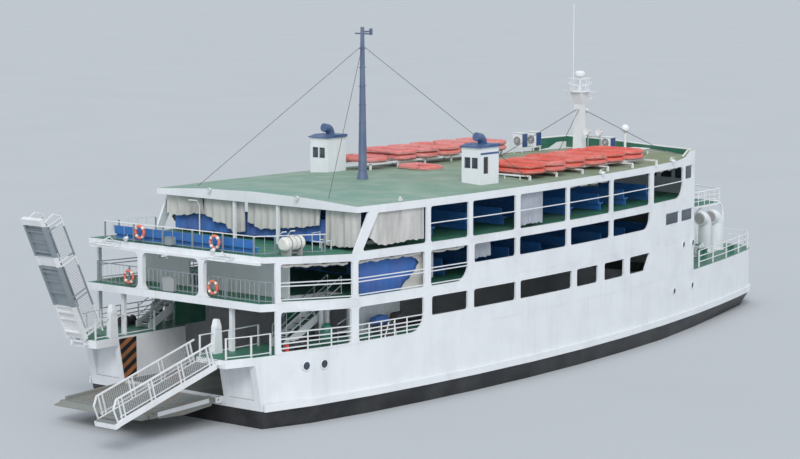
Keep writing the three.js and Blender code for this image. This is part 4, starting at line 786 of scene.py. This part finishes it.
# Tarpaulins rolled up under a band: after and fore end, height and radius
ROLL_STEP = 0.16
ROLL_INSET = 0.22
MIDDLE_ROLL = (7.68, 0.09)
UPPER_ROLL = (ROOF[0] - 0.12, 0.08)
ROLLS = [(-13.7, -9.5, *MIDDLE_ROLL), (-8.8, -4.25, *MIDDLE_ROLL), (-3.5, -0.8, *MIDDLE_ROLL),
         (8.8, 13, *UPPER_ROLL), (18.7, 22, *UPPER_ROLL)]
form = Form(paints["pale_cloth"])
for aft, fore, z, radius in ROLLS:
    for side in SIDES:
        path = [plating(x, z + 0.035 * math.sin(x * 5.3) + 0.02 * math.sin(x * 11), ROLL_INSET, side)
                for x in spaced(aft, fore, ROLL_STEP)]
        form.tube(path, [radius * random.uniform(0.75, 1.15) for _ in path], 9)
piece("rolled_tarpaulins", form, smooth=70)


# Lifebuoys with white bands, hung on the after rails
BUOY_RADIUS = 0.3
BUOY_TUBE = 0.075
BUOY_BAND = 11
BUOY_PLACES = ((-14.63, 2.55, 8.97), (-14.63, -2.69, 8.89), (-14.72, 3.28, 6.66), (-14.72, -2.63, 6.66))


def arc(place, start, end):
    """Places along a lifebuoy's middle line, between two angles in degrees."""
    x, y, z = place
    count = max(3, round((end - start) / 8))
    return [Vector((x, y + BUOY_RADIUS * math.cos(a), z + BUOY_RADIUS * math.sin(a)))
            for a in (math.radians(start + (end - start) * k / count) for k in range(count + 1))]


form = Form(paints["buoy_orange"])
for place in BUOY_PLACES:
    form.use(paints["buoy_orange"])
    form.tube(arc(place, 0, 352), BUOY_TUBE, 10, ring=True)
    form.use(paints["buoy_white"])
    for middle in (45, 135, 225, 315):
        form.tube(arc(place, middle - BUOY_BAND, middle + BUOY_BAND), BUOY_TUBE + 0.006, 10)
piece("lifebuoys", form, smooth=60)


# Fittings on the after ends of the decks
BOX_TRIM = 0.02


def boxed(form, low, high):
    """A sheet-metal box with a raised frame around its after face."""
    form.box(low, high)
    (x, y0, z0), (_, y1, z1) = low, high
    for y in (y0, y1):
        form.block(x, y, BOX_TRIM, BOX_TRIM, z0 - BOX_TRIM, z1 + BOX_TRIM)
    for z in (z0, z1):
        form.box((x - BOX_TRIM, y0 - BOX_TRIM, z - BOX_TRIM), (x + BOX_TRIM, y1 + BOX_TRIM, z + BOX_TRIM))


form = Form(slot_materials["galvanised"])
boxed(form, (-14.85, -0.05, 6.22), (-14.65, 0.72, 6.9))
form.use(RAIL_PAINT)
boxed(form, (-14.9, 0, 8.55), (-14.62, 0.48, 8.92))
piece("rail_cabinets", form)

LAMP_BODY = [(0, -0.12), (0.07, -0.11), (0.1, -0.02), (0.13, 0.1), (0, 0.1)]
LAMPS = {(-1, 0, -0.6): ((-14.9, 3.25, 8.62), (-14.9, -2.85, 8.52)),
         (0, -1, -0.6): ((12.06, -6.85, 10.55), (20.97, -5.6, 10.5))}
form = Form(RAIL_PAINT)
for facing, places in LAMPS.items():
    aim = Vector(facing).normalized()
    for centre in (Vector(place) for place in places):
        form.use(paints["lamp"])
        form.lathe(centre, aim, LAMP_BODY, 14)
        form.use(RAIL_PAINT)
        bracket = [centre - aim * 0.08, centre - aim * 0.1 + UP * 0.18, centre + Vector((0.12, 0, 0.2))]
        form.tube(bracket, 0.018, 6)
piece("floodlights", form)

FOLDED_X = -14.85
FOLDED_REACH = 0.95


def folded_frame(form, y0, y1, z):
    """A white pipe frame that lies folded out from the after edge of deck three."""
    far = FOLDED_X - FOLDED_REACH
    path = [Vector(place) for place in ((FOLDED_X, y0 + 0.3, z), (far, y0, z - 0.1), (far, y1, z - 0.1),
                                        (FOLDED_X, y1 - 0.3, z))]
    form.tube(path, 0.035, 8, ring=True)
    form.tube([path[0].lerp(path[1], 0.5), path[3].lerp(path[2], 0.5)], 0.025, 8)
    middle = (path[0] + path[3]) / 2
    form.tube([middle, middle + Vector((-0.3, 0, 0.24)), middle + Vector((-0.75, 0, 0.1))], 0.03, 8)


form = Form(WHITE_PAINT)
folded_frame(form, -4.5, -2.9, 8.3)
folded_frame(form, 3.4, 5, 8.42)
piece("folded_frames", form, smooth=60)


# Stairs' handrails, beside each flight
LOWER_STAIR = {"foot": -12.4, "head": -8.1, "z": (CASING_TOP, DECK_TWO[1])}
UPPER_STAIR = {"foot": -6.1, "head": -2.4, "z": (DECK_TWO[1], DECK_THREE[1])}
STAIR_Y = 4.75
STAIR_HALF = 0.5
HANDRAIL = 0.92
HANDRAIL_TUBE = 0.024
HANDRAIL_POST = 0.022


def handrails(form, stair, side):
    low, high = stair["z"]
    for edge in SIDES:
        y = side * (STAIR_Y + edge * (STAIR_HALF - 0.04))
        start = Vector((stair["foot"] + 0.15, y, low + 0.15))
        end = Vector((stair["head"] - 0.05, y, high - 0.05))
        for lift in (HANDRAIL, HANDRAIL / 2):
            form.tube([start + UP * lift, end + UP * lift], HANDRAIL_TUBE, 6)
        for share in spaced(0, 1, 0.25):
            place = start.lerp(end, share)
            form.tube([place, place + UP * HANDRAIL], HANDRAIL_POST, 6)


form = Form(RAIL_PAINT)
for side in SIDES:
    handrails(form, LOWER_STAIR, side)
    handrails(form, UPPER_STAIR, side)
piece("stair_handrails", form, smooth=60)


# Hazard stripes on the inner faces of the quarters, just inside the transom
STRIPES_FORE = -14.05
STRIPES_Z = (1.45, 3.52)
STRIPES_Y = (3.485, 3.495)
STRIPES = [(-15.28, STRIPES_Z[1]), (STRIPES_FORE, STRIPES_Z[1]),
           (STRIPES_FORE, STRIPES_Z[0]), (-14.9, STRIPES_Z[0])]
form = Form(striped())
for side in SIDES:
    form.add([(x, side * y, z) for y in STRIPES_Y for x, z in STRIPES],
                       [(0, 1, 2, 3), (7, 6, 5, 4), (0, 4, 5, 1), (1, 5, 6, 2), (2, 6, 7, 3), (3, 7, 4, 0)])
piece("hazard_stripes", form)


# Walls and gear inside the lower bays
PANEL_STEP = 0.6


def panelled(form, x0, x1, y, top):
    """A wall of upright sheets with a rib at each joint."""
    foot = CASING_TOP + 0.02
    form.box((x0, y - 0.03, foot), (x1, y + 0.03, top))
    for x in spaced(x0, x1, PANEL_STEP):
        form.block(x, y, 0.025, 0.055, foot, top)


form = Form(GREEN_PANEL)
for side in SIDES:
    form.use(GREEN_PANEL)
    panelled(form, -10.9, -8.75, side * 3.85, 5.1)
    form.use(WHITE_PAINT)
    panelled(form, -7.6, -3.6, side * 5.15, 5.48)
piece("casing_walls", form)

CAPSTAN = [(0, 0), (0.3, 0), (0.33, 0.06), (0.33, 0.62), (0.26, 0.9), (0.12, 1.06), (0, 1.08)]
CYLINDER = [(0, 0), (0.12, 0), (0.12, 1.86), (0, 1.86)]
BOTTLE = [(0, 0), (0.13, 0), (0.13, 0.42), (0.06, 0.5), (0, 0.5)]
TANK = [(0, -0.55), (0.22, -0.5), (0.3, 0), (0.22, 0.5), (0, 0.55)]
DRUM = [(0, -0.3), (0.28, -0.26), (0.28, 0.26), (0, 0.3)]
WINCH_Z = 3.86
TANK_Z = 4.3
form = Form(GREEN_PANEL)
for side in SIDES:
    outer, inner = side * 6, side * 5.8
    form.use(GREEN_PANEL)
    form.lathe((-10.15, outer, CASING_TOP), UP, CAPSTAN, 18)
    form.use(WHITE_PAINT)
    form.lathe((-9.95, side * 5.45, CASING_TOP), UP, CYLINDER, 14)
    form.use(DARK_IRON)
    form.tube([(-12.7, outer, WINCH_Z), (-11.9, outer, WINCH_Z)], 0.2, 14)
    for x in (-12.72, -12.3, -11.88):
        form.tube([(x - 0.025, outer, WINCH_Z), (x + 0.025, outer, WINCH_Z)], 0.26, 14)
    form.block(-12.3, outer, 0.5, 0.22, CASING_TOP, 3.68)
    form.use(paints["red"])
    form.lathe((-13.3, side * 6.2, CASING_TOP), UP, BOTTLE, 14)
    form.use(paints["blue_cloth"])
    form.lathe((-5.9, inner, TANK_Z), (1, 0, 0), TANK, 14)
    form.use(DARK_IRON)
    form.lathe((-4.5, inner, TANK_Z), (1, 0, 0), DRUM, 16)
    for x in (-6.2, -5.6, -4.6, -4.3):
        form.block(x, inner, 0.03, 0.2, CASING_TOP, 4.2)
piece("casing_gear", form, smooth=40)

# White pipe frames: two in each lower bay, then the ones on deck three
PIPE = 0.03
form = Form(WHITE_PAINT)
for side in SIDES:
    y, y_out = side * 5.9, side * 7.08
    form.tube([(-9.2, y, 3.63), (-9.2, y, 4.5), (-8.35, y, 4.78), (-8.35, y, 3.63)], PIPE, 7)
    form.tube([(-9.2, y, 4.1), (-8.35, y, 4.1)], 0.022, 7)
    for foot, head in ((-6.98, -6.66), (-6.06, -6.28)):
        form.tube([(foot, y_out, 3.66), (head, y_out, 4.42)], PIPE, 7)
for places in ([(-9.7, -4.65, 8.17), (-9.7, -4.65, 9.02), (-8.95, -4.5, 9.02), (-8.95, -4.5, 8.17)],
               [(-9.7, -5.3, 8.17), (-9.7, -5.3, 8.62), (-9.7, -4.65, 8.62)],
               [(-9.7, -5.3, 8.62), (-8.9, -5.2, 8.6), (-8.95, -4.5, 8.62)],
               [(-8.9, -5.2, 8.17), (-8.9, -5.2, 8.6)]):
    form.tube(places, PIPE, 7)
form.tube([(-8.9, 4, 8.17), (-8.9, 4, 9.7), (-9.05, 4.05, 10), (-9.5, 4.2, 10.05)], 0.035, 7)
piece("pipe_frames", form, smooth=60)

form = Form(DARK_IRON)
for side in SIDES:
    form.tube(hoop((-6.47, side * 6.9, 3.95), 0.27, 20, (1, 0, 0)), 0.1, 10, ring=True)
piece("tyre_fenders", form, smooth=70)


# Portholes: a raised ring around dark glass, set a little into the plating
PORTHOLES = ((-12.34, 2.9, 0.2), (-11.23, 2.87, 0.2), (22.84, 5.34, 0.17), (24.26, 5.29, 0.17),
             (24.26, 2.71, 0.17), (21.51, 2.7, 0.17))
form = Form(WHITE_PAINT)
for x, z, radius in PORTHOLES:
    for side in SIDES:
        face = plating(x, z, 0, side)
        slope = (half_beam(x + 0.1) - half_beam(x - 0.1)) / 0.2
        out = Vector((-slope, side, 0)).normalized()
        form.use(WHITE_PAINT)
        rim = [(radius, -0.01), (radius, 0.03), (radius + 0.05, 0.03), (radius + 0.06, -0.01)]
        form.lathe(face, out, rim)
        form.use(GLASS)
        form.lathe(face, out, [(0, 0.012), (radius, 0.012), (radius, -0.01)])
piece("portholes", form, smooth=40)


# Panes in the small windows and in the front wall
SIDE_WINDOWS = ((20.24, 22.09, 6.72, 7.43), (22.5, 24.18, 6.72, 7.43), (23.02, 24.07, 9.22, 10.03))
FRONT_WINDOWS = ([(-3.6 + 1.2 * k, 0.42, 9.05, 9.95) for k in range(7)]
                 + [(-3.2 + 1.6 * k, 0.4, 6.75, 7.45) for k in range(5)])
PANE_INSET = 0.09
PANE_THICKNESS = 0.015
FRAME_INSET = 0.07
FRAME_BAR = 0.04
SILL_BAR = 0.045
FRONT_SWELL = 0.4


def window(form, x0, x1, z0, z1, side):
    rise = UP * (z1 - z0)
    form.use(GLASS)
    for deep in (0, PANE_THICKNESS):
        low, high = (plating(x, z0, PANE_INSET, side) - Vector((0, side * deep, 0)) for x in (x0, x1))
        form.add([low, high, high + rise, low + rise], [(0, 1, 2, 3)])
    form.use(WHITE_PAINT)
    for x in (x0, x1):
        form.bar(plating(x, z0, FRAME_INSET, side), plating(x, z1, FRAME_INSET, side), FRAME_BAR)
    for z in (z0, z1):
        form.bar(plating(x0, z, FRAME_INSET, side), plating(x1, z, FRAME_INSET, side), SILL_BAR)


def front_x(y):
    """The front wall's outer face, which swells forward at the middle."""
    fore = FRONT - FRONT_SWELL
    return fore + 2 * FRONT_SWELL * (1 - (y / half_beam(fore)) ** 2)


form = Form(GLASS)
for side in SIDES:
    for row in SIDE_WINDOWS:
        window(form, *row, side)
for y, half, z0, z1 in FRONT_WINDOWS:
    form.use(GLASS)
    x = front_x(y) - 0.07
    form.box((x - 0.01, y - half + 0.01, z0 + 0.01), (x + 0.005, y + half - 0.01, z1 - 0.01))
    form.use(WHITE_PAINT)
    for edge in (y - half + 0.02, y + half - 0.02):
        form.bar((x + 0.01, edge, z0), (x + 0.01, edge, z1), FRAME_BAR)
    for z in (z0 + 0.02, z1 - 0.02):
        form.bar((x + 0.01, y - half, z), (x + 0.01, y + half, z), FRAME_BAR)
piece("window_panes", form)


# Funnel houses: panes, louvre blades and a strip along the wall
HOUSE_LENGTH = 1.55
HOUSE_WIDTH = 1.3
HOUSES = {"starboard": (2.45, -5.75, 1), "port": (2, -6.05, -1)}
HOUSE_PANE = (0.8, 1.33)
LOUVRE = (0.26, 0.64)
LOUVRES = (0.56, 1.34, 0.11)
STRIP = (1.52, 1.62)
for name, (x0, y0, sign) in HOUSES.items():
    base = roof_top(x0 + HOUSE_LENGTH / 2, y0 + HOUSE_WIDTH) + 0.004
    low, high = base + HOUSE_PANE[0], base + HOUSE_PANE[1]
    form = Form(GLASS)
    for part in (0.4, 0.9):
        y = (y0 + part) * sign
        form.use(GLASS)
        form.box((x0 + 0.05, y - 0.16, low), (x0 + 0.09, y + 0.16, high))
        form.use(DARK_IRON)
        for z in (low, high):
            form.box((x0 - 0.015, y - 0.19, z - 0.02), (x0 + 0.02, y + 0.19, z + 0.02))
        for edge in (y - 0.17, y + 0.17):
            form.box((x0 - 0.015, edge - 0.02, low), (x0 + 0.02, edge + 0.02, high))
    form.use(DARK_IRON)
    wall, inner = y0 * sign, (y0 + 0.07) * sign
    aft, fore = x0 + LOUVRE[0], x0 + LOUVRE[1]
    for z in spaced(base + LOUVRES[0], base + LOUVRES[1], LOUVRES[2]):
        for drop, face in ((0, (0, 1, 2, 3)), (0.015, (3, 2, 1, 0))):
            foot, head = z - 0.04 - drop, z + 0.04 - drop
            form.add([(aft, wall, foot), (fore, wall, foot), (fore, inner, head), (aft, inner, head)], [face])
    form.use(slot_materials["funnel_paint"])
    strip = sorted(((y0 - 0.02) * sign, y0 * sign))
    form.box((x0 - 0.01, strip[0], base + STRIP[0]), (x0 + HOUSE_LENGTH + 0.01, strip[1], base + STRIP[1]))
    piece(f"funnel_trim_{name}", form)


# Roof gear: fans of the air conditioners, horns, dome, boxes and the raised bulwark at the fore edge
GUARD_WIRE = 0.008
COOLERS = (((19.2, 20.6), 4.6, 0.3, 0.85), ((22.8,), 0.6, 0.12, 0.6))
FAN_RADIUS = 0.25


def fan(form, x, y, z, radius):
    """A fan's guard that faces aft."""
    form.use(DARK_IRON)
    form.lathe((x, y, z), (-1, 0, 0), [(0, 0), (radius, 0), (radius, 0.03), (radius - 0.03, 0.03)], 24)
    form.use(RAIL_PAINT)
    for share in (0.35, 0.6, 0.85):
        form.tube(hoop((x - 0.035, y, z), radius * share, 16), GUARD_WIRE, 5, ring=True)
    hub = Vector((x - 0.04, y, z))
    for a in turns(8)[:4]:
        reach = Vector((0, radius * math.cos(a), radius * math.sin(a)))
        form.tube([hub - reach, hub + reach], GUARD_WIRE, 5)


form = Form(DARK_IRON)
for xs, y, lift, height in COOLERS:
    base = roof_top(xs[0], y) + lift
    top = base + height
    for x in xs:
        fan(form, x - 0.045, y, base + height / 2, FAN_RADIUS)
        form.use(paints["blue_panel"])
        form.box((x + 0.02, y - 0.36, base + 0.03), (x + 0.52, y - 0.352, top - 0.03))
        form.use(WHITE_PAINT)
        form.box((x - 0.03, y - 0.38, top), (x + 0.57, y + 0.38, top + 0.035))
piece("cooler_trim", form, smooth=40)

HORN = [(0, -0.2), (0.07, -0.18), (0.08, 0.02), (0.13, 0.12), (0.2, 0.2), (0, 0.16)]
HORN_X = 18.8
HORN_YS = (-0.96, -1.83)
HORN_Z = 12.15
DOME = [(0, 0), (0.16, 0.02), (0.24, 0.12), (0.25, 0.28), (0.2, 0.4), (0.1, 0.48), (0, 0.5)]
DOME_X = 24.0
POLE_TOP = 11.72
TABLE_TOP = (10.98, 11.02)
form = Form(paints["lamp"])
for y in HORN_YS:
    form.use(paints["lamp"])
    form.lathe((HORN_X, y, HORN_Z), (-1, 0, 0.05), HORN, 18)
    form.use(GREY_RAIL)
    form.tube([(HORN_X, y, HORN_Z - 0.05), (HORN_X, y, roof_top(HORN_X, y) + 0.02)], 0.03, 8)
form.tube([(HORN_X, y, HORN_Z - 0.3) for y in reversed(HORN_YS)], 0.03, 8)
form.use(RAIL_PAINT)
form.tube([(DOME_X, 0, roof_top(DOME_X, 0) - 0.02), (DOME_X, 0, POLE_TOP)], 0.08, 10)
form.use(paints["lamp"])
form.lathe((DOME_X, 0, POLE_TOP), UP, DOME)
form.use(RAIL_PAINT)
form.box((21.7, -2.86, TABLE_TOP[0]), (22.5, -1.7, TABLE_TOP[1]))
for x in (21.8, 22.4):
    for y in (-2.76, -1.8):
        form.block(x, y, 0.03, 0.03, roof_top(x, y) - 0.02, 11)
form.use(WHITE_PAINT)
locker = roof_top(18.2, 4.9)
boxed(form, (18.2, 4.85, locker + 0.02), (18.75, 5.4, locker + 0.66))
form.use(RAIL_PAINT)
for y in (-6.05, -5):
    form.tube([(5.5, y, 10.62), (5.5, y, 10.82)], 0.03, 8)
form.tube([(5.5, -2.7, 10.85), (5.5, -6.05, 10.82)], 0.045, 8)
piece("roof_gear", form, smooth=45)

# The bulwark's crest, from port to starboard around the front
CREST_FRONT = ((3.6, 11.2), (2.4, 11.14), (1.2, 11.07), (0, 11),
               (-1.2, 10.95), (-2.4, 10.92), (-3.6, 10.91), (-4.5, 10.91))
CREST_STARBOARD = ((24.3, 10.91), (23.65, 10.91), (22.9, 10.6))
crest = [(21.8, half_beam(21.8) - 0.05, 11.2), (24.4, half_beam(24.4) - 0.06, 11.24)]
crest += [(front_x(y) - 0.1, y, z) for y, z in CREST_FRONT]
crest += [(x, 0.15 - half_beam(x), z) for x, z in CREST_STARBOARD]
BULWARK_THICKNESS = 0.07


def inward(x, y, distance):
    """A step from the bulwark towards the middle of the roof."""
    return Vector((12.0 - x, -y * 2, 0)).normalized() * distance


form = Form(WHITE_PAINT)
for depth, paint in ((0, WHITE_PAINT), (BULWARK_THICKNESS, GREEN_PANEL)):
    form.use(paint)
    form.grid([[Vector((x, y, roof_top(x, y * 0.98) + 0.01)) + inward(x, y, depth) for x, y, z in crest],
                  [Vector((x, y, z)) + inward(x, y, depth) for x, y, z in crest]])
form.use(RAIL_PAINT)
form.tube([Vector((x, y, z)) + inward(x, y, BULWARK_THICKNESS / 2) for x, y, z in crest], 0.05, 7)
piece("roof_bulwark", form, smooth=50)


# Stays: each mast's head, their radius and their feet on the roof
STAYS = (((-0.5, 0, 17.9), 0.014, ((-8.4, -4.6), (-8.4, 4.6), (6.5, -5.9), (6.5, 5.9))),
         ((19.25, 0, 13.5), 0.018, ((14.6, -1.6), (14.6, 2.4), (24.2, -2.8), (24.2, 2.8))))
form = Form(DARK_IRON)
for mast_head, radius, feet in STAYS:
    for x, y in feet:
        form.tube([mast_head, (x, y, roof_top(x, y) + 0.05)], radius, 5)
piece("mast_stays", form)

# Small lamps on bent arms at the roof's edge: place and lean
EDGE_LAMP = [(0, -0.06), (0.05, -0.05), (0.09, 0.06), (0.12, 0.12), (0, 0.1)]
EDGE_LAMPS = [((-8.95, y, ROOF[1]), (-0.3, 0, 0)) for y in (-3.15, 3)]
EDGE_LAMPS += [((x, 0.08 - half_beam(x), ROOF[1]), (-0.1, -0.1, 0)) for x in (-5.9, 12.06, 20.97)]
form = Form(RAIL_PAINT)
for place, lean in EDGE_LAMPS:
    base, lean = Vector(place), Vector(lean)
    form.use(RAIL_PAINT)
    form.tube([base, base + UP * 0.16, base + lean * 0.6 + UP * 0.24], 0.02, 6)
    form.use(paints["lamp"])
    form.lathe(base + lean * 0.6 + UP * 0.22, lean - UP * 0.1, EDGE_LAMP, 12)
piece("edge_lamps", form, smooth=45)


# Ventilators' trunks, bent over aft
TRUNK_Y = -0.6
TRUNK_HEIGHT = 1.7
TRUNK_BEND = 0.5
TRUNK_TURN = 108
TRUNK_STEPS = 10
TRUNK_RADIUS = 0.42
TRUNK_FOOT_RADIUS = 0.52
TRUNK_FLARE = 0.04
TRUNK_MOUTH = 0.36


def trunk(form, x, y):
    base = CASING_TOP + 0.001
    places = [Vector((x, y, base + lift)) for lift in (0.01, 0.1, 0.101)]
    widths = [TRUNK_FOOT_RADIUS, TRUNK_FOOT_RADIUS, TRUNK_RADIUS]
    for k in range(TRUNK_STEPS + 1):
        angle = math.radians(TRUNK_TURN) * k / TRUNK_STEPS
        places.append(Vector((x - TRUNK_BEND * (1 - math.cos(angle)), y,
                              base + TRUNK_HEIGHT + TRUNK_BEND * math.sin(angle))))
        widths.append(TRUNK_RADIUS + TRUNK_FLARE * k / TRUNK_STEPS)
    form.tube(places, widths, 24)
    aim = (places[-1] - places[-2]).normalized()
    # A grey disc closes the mouth: painted shade for the inside of the opening
    form.use(GREY_RAIL)
    form.lathe(places[-1] + aim * 0.004, aim, [(0, 0), (TRUNK_MOUTH, 0), (TRUNK_MOUTH, 0.005)], 24)


for name, x in (("aft", 32.1), ("fore", 33.4)):
    form = Form(WHITE_PAINT)
    trunk(form, x, TRUNK_Y)
    piece(f"ventilator_trunk_{name}", form, smooth=50, replaces=[f"ventilator_{name}"])


# Bow gear: a goose-neck pipe and pairs of bollards
GOOSE_NECK = ((34.15, 3.64), (34.15, 5.9), (34.05, 6.35), (33.75, 6.65),
              (33.3, 6.78), (32.6, 6.8), (31.2, 6.8))
BOLLARDS = ((29.2, -2.2, 0.5), (29.6, 1.6, 0.5), (32.6, -2, 0.35), (32.4, 1.3, 0.35))
BOLLARD_GAP = 0.5
form = Form(WHITE_PAINT)
form.tube([(x, TRUNK_Y, z) for x, z in GOOSE_NECK], 0.07, 12)
form.use(GREEN_PANEL)
for x, y, reach in BOLLARDS:
    profile = [(0, 0), (0.2, 0), (0.14, 0.05), (0.14, reach), (0.19, reach + 0.04), (0.19, reach + 0.1),
               (0, reach + 0.12)]
    for shift in (0, BOLLARD_GAP):
        form.lathe((x + shift, y, CASING_TOP), UP, profile, 16)
piece("bow_gear", form, smooth=50)


# The balcony before the front wall, with its rail and two brackets
BALCONY = ((24.9, -4.35), (26.4, -4.25), (28.4, -4.05), (29.1, -2.1),
           (29.1, 2.1), (28.4, 4.05), (26.4, 4.25), (24.9, 4.35))
BALCONY_Z = 7.35
BALCONY_RAIL = 0.85
BALCONY_PLATE = 0.12
BALCONY_POSTS = 0.8
form = Form(slot_materials["deck_paint"])
corners = len(BALCONY)
ring = [(i, (i + 1) % corners) for i in range(corners)]
form.add([(x, y, z) for z in (BALCONY_Z - BALCONY_PLATE, BALCONY_Z) for x, y in BALCONY],
            [tuple(reversed(range(corners))), tuple(range(corners, 2 * corners))]
            + [(i, j, corners + j, corners + i) for i, j in ring])
form.use(RAIL_PAINT)
for part, radius in ((1, 0.025), (2, 0.025), (3, 0.04)):
    form.tube([(x, y, BALCONY_Z + BALCONY_RAIL * part / 3) for x, y in BALCONY], radius, 7)
for side in posts(BALCONY, BALCONY_POSTS):
    for x, y in side:
        form.tube([(x, y, BALCONY_Z - 0.02), (x, y, BALCONY_Z + BALCONY_RAIL)], 0.022, 6)
for y in (-3.6, 3.6):
    form.bar((24.95, y, 6.1), (27.4, y, BALCONY_Z - 0.08), 0.08)
piece("front_balcony", form, smooth=45)


# Canister raft's straps and the two bent pipes above it
CANISTER = Vector((-12.75, -6.08, 8.93))
STRAP_RADIUS = 0.357
SEAM_RADIUS = 0.352
form = Form(DARK_IRON)
for shift in (-0.32, 0.32):
    form.tube(hoop(CANISTER + Vector((shift, 0, 0)), STRAP_RADIUS, 24), 0.014, 5, ring=True)
form.use(GREY_RAIL)
form.tube(hoop(CANISTER, SEAM_RADIUS, 24), 0.02, 5, ring=True)
form.use(RAIL_PAINT)
for shift in (-0.2, 0.42):
    foot = CANISTER + Vector((shift, 0.62, -0.7))
    bend = [(0, 0, 0), (0, 0, 1.05), (0.02, -0.15, 1.22), (0.04, -0.4, 1.25)]
    form.tube([foot + Vector(step) for step in bend], 0.03, 8)
piece("raft_trim", form, smooth=60)


# Treads across the vehicle ramp and a flap along its near side, in the frame of the hinge
RAMP_HINGE = (-15.1, 0, 1.22)
RAMP_PITCH = -2.75
RAMP_TREAD = 0.35
form = Form(paints["grating"])
for x in spaced(-4.3, -0.5, RAMP_TREAD):
    form.block(x, 0, 0.03, 2.9, 0.06, 0.085)
form.use(RAIL_PAINT)
form.box((-4, -3.17, -0.08), (-0.5, -3.152, 0.14))
piece("ramp_trim", form, body="vehicle_ramp_body", turn=(RAMP_HINGE, RAMP_PITCH))


# Camera, fitted to the lines of the ship's decks, rails and strake
LENS_MM = 112.24
SENSOR_MM = 36.0
CAMERA_AT = at(-101.25, -87.46, 24.09)
CAMERA_YAW = 40.098
CAMERA_PITCH = 6.8785
SIGHT = 1500.0
camera = bpy.data.objects.new("camera", bpy.data.cameras.new("camera"))
camera.data.lens = LENS_MM
camera.data.sensor_width = SENSOR_MM
camera.data.clip_end = SIGHT
camera.location = CAMERA_AT
camera.rotation_euler = (math.radians(90 - CAMERA_PITCH), 0, math.radians(CAMERA_YAW - 90))
bpy.context.scene.collection.objects.link(camera)
bpy.context.scene.camera = camera

# Floor at the waterline
FLOOR_HALF = 700.0
floor_shade = Shade("floor", roughness=0.85)
FLOOR_GREYS = (rgb(0.50, 0.52, 0.54), rgb(0.54, 0.56, 0.58))
floor_paint = floor_shade.done(floor_shade.mix(floor_shade.noise(0.15, 3), *FLOOR_GREYS))
floor_mesh = bpy.data.meshes.new("floor")
floor_corners = [(sx * FLOOR_HALF, sy * FLOOR_HALF, 0) for sx, sy in ((-1, -1), (1, -1), (1, 1), (-1, 1))]
floor_mesh.from_pydata(floor_corners, [], [(0, 1, 2, 3)])
floor_mesh.materials.append(floor_paint)
floor = bpy.data.objects.new("floor", floor_mesh)
bpy.context.scene.collection.objects.link(floor)

# Soft light from an overcast studio sky, one broad sun and a fill; angles in degrees
SKY = rgb(0.80, 0.86, 0.93)
SKY_STRENGTH = 0.8
LIGHTS = [
    {"name": "sun", "energy": 1.5, "angle": 25, "from_zenith": 52, "turn": -50},
    {"name": "fill", "energy": 0.55, "angle": 70, "from_zenith": 80, "turn": -40},
]
world = bpy.data.worlds.new("studio")
world.use_nodes = True
world.node_tree.nodes["Background"].inputs[0].default_value = SKY
world.node_tree.nodes["Background"].inputs[1].default_value = SKY_STRENGTH
bpy.context.scene.world = world
for row in LIGHTS:
    light = bpy.data.objects.new(row["name"], bpy.data.lights.new(row["name"], "SUN"))
    light.data.energy = row["energy"]
    light.data.angle = math.radians(row["angle"])
    light.rotation_euler = (math.radians(row["from_zenith"]), 0, math.radians(row["turn"]))
    bpy.context.scene.collection.objects.link(light)
bpy.context.scene.view_settings.view_transform = "Standard"
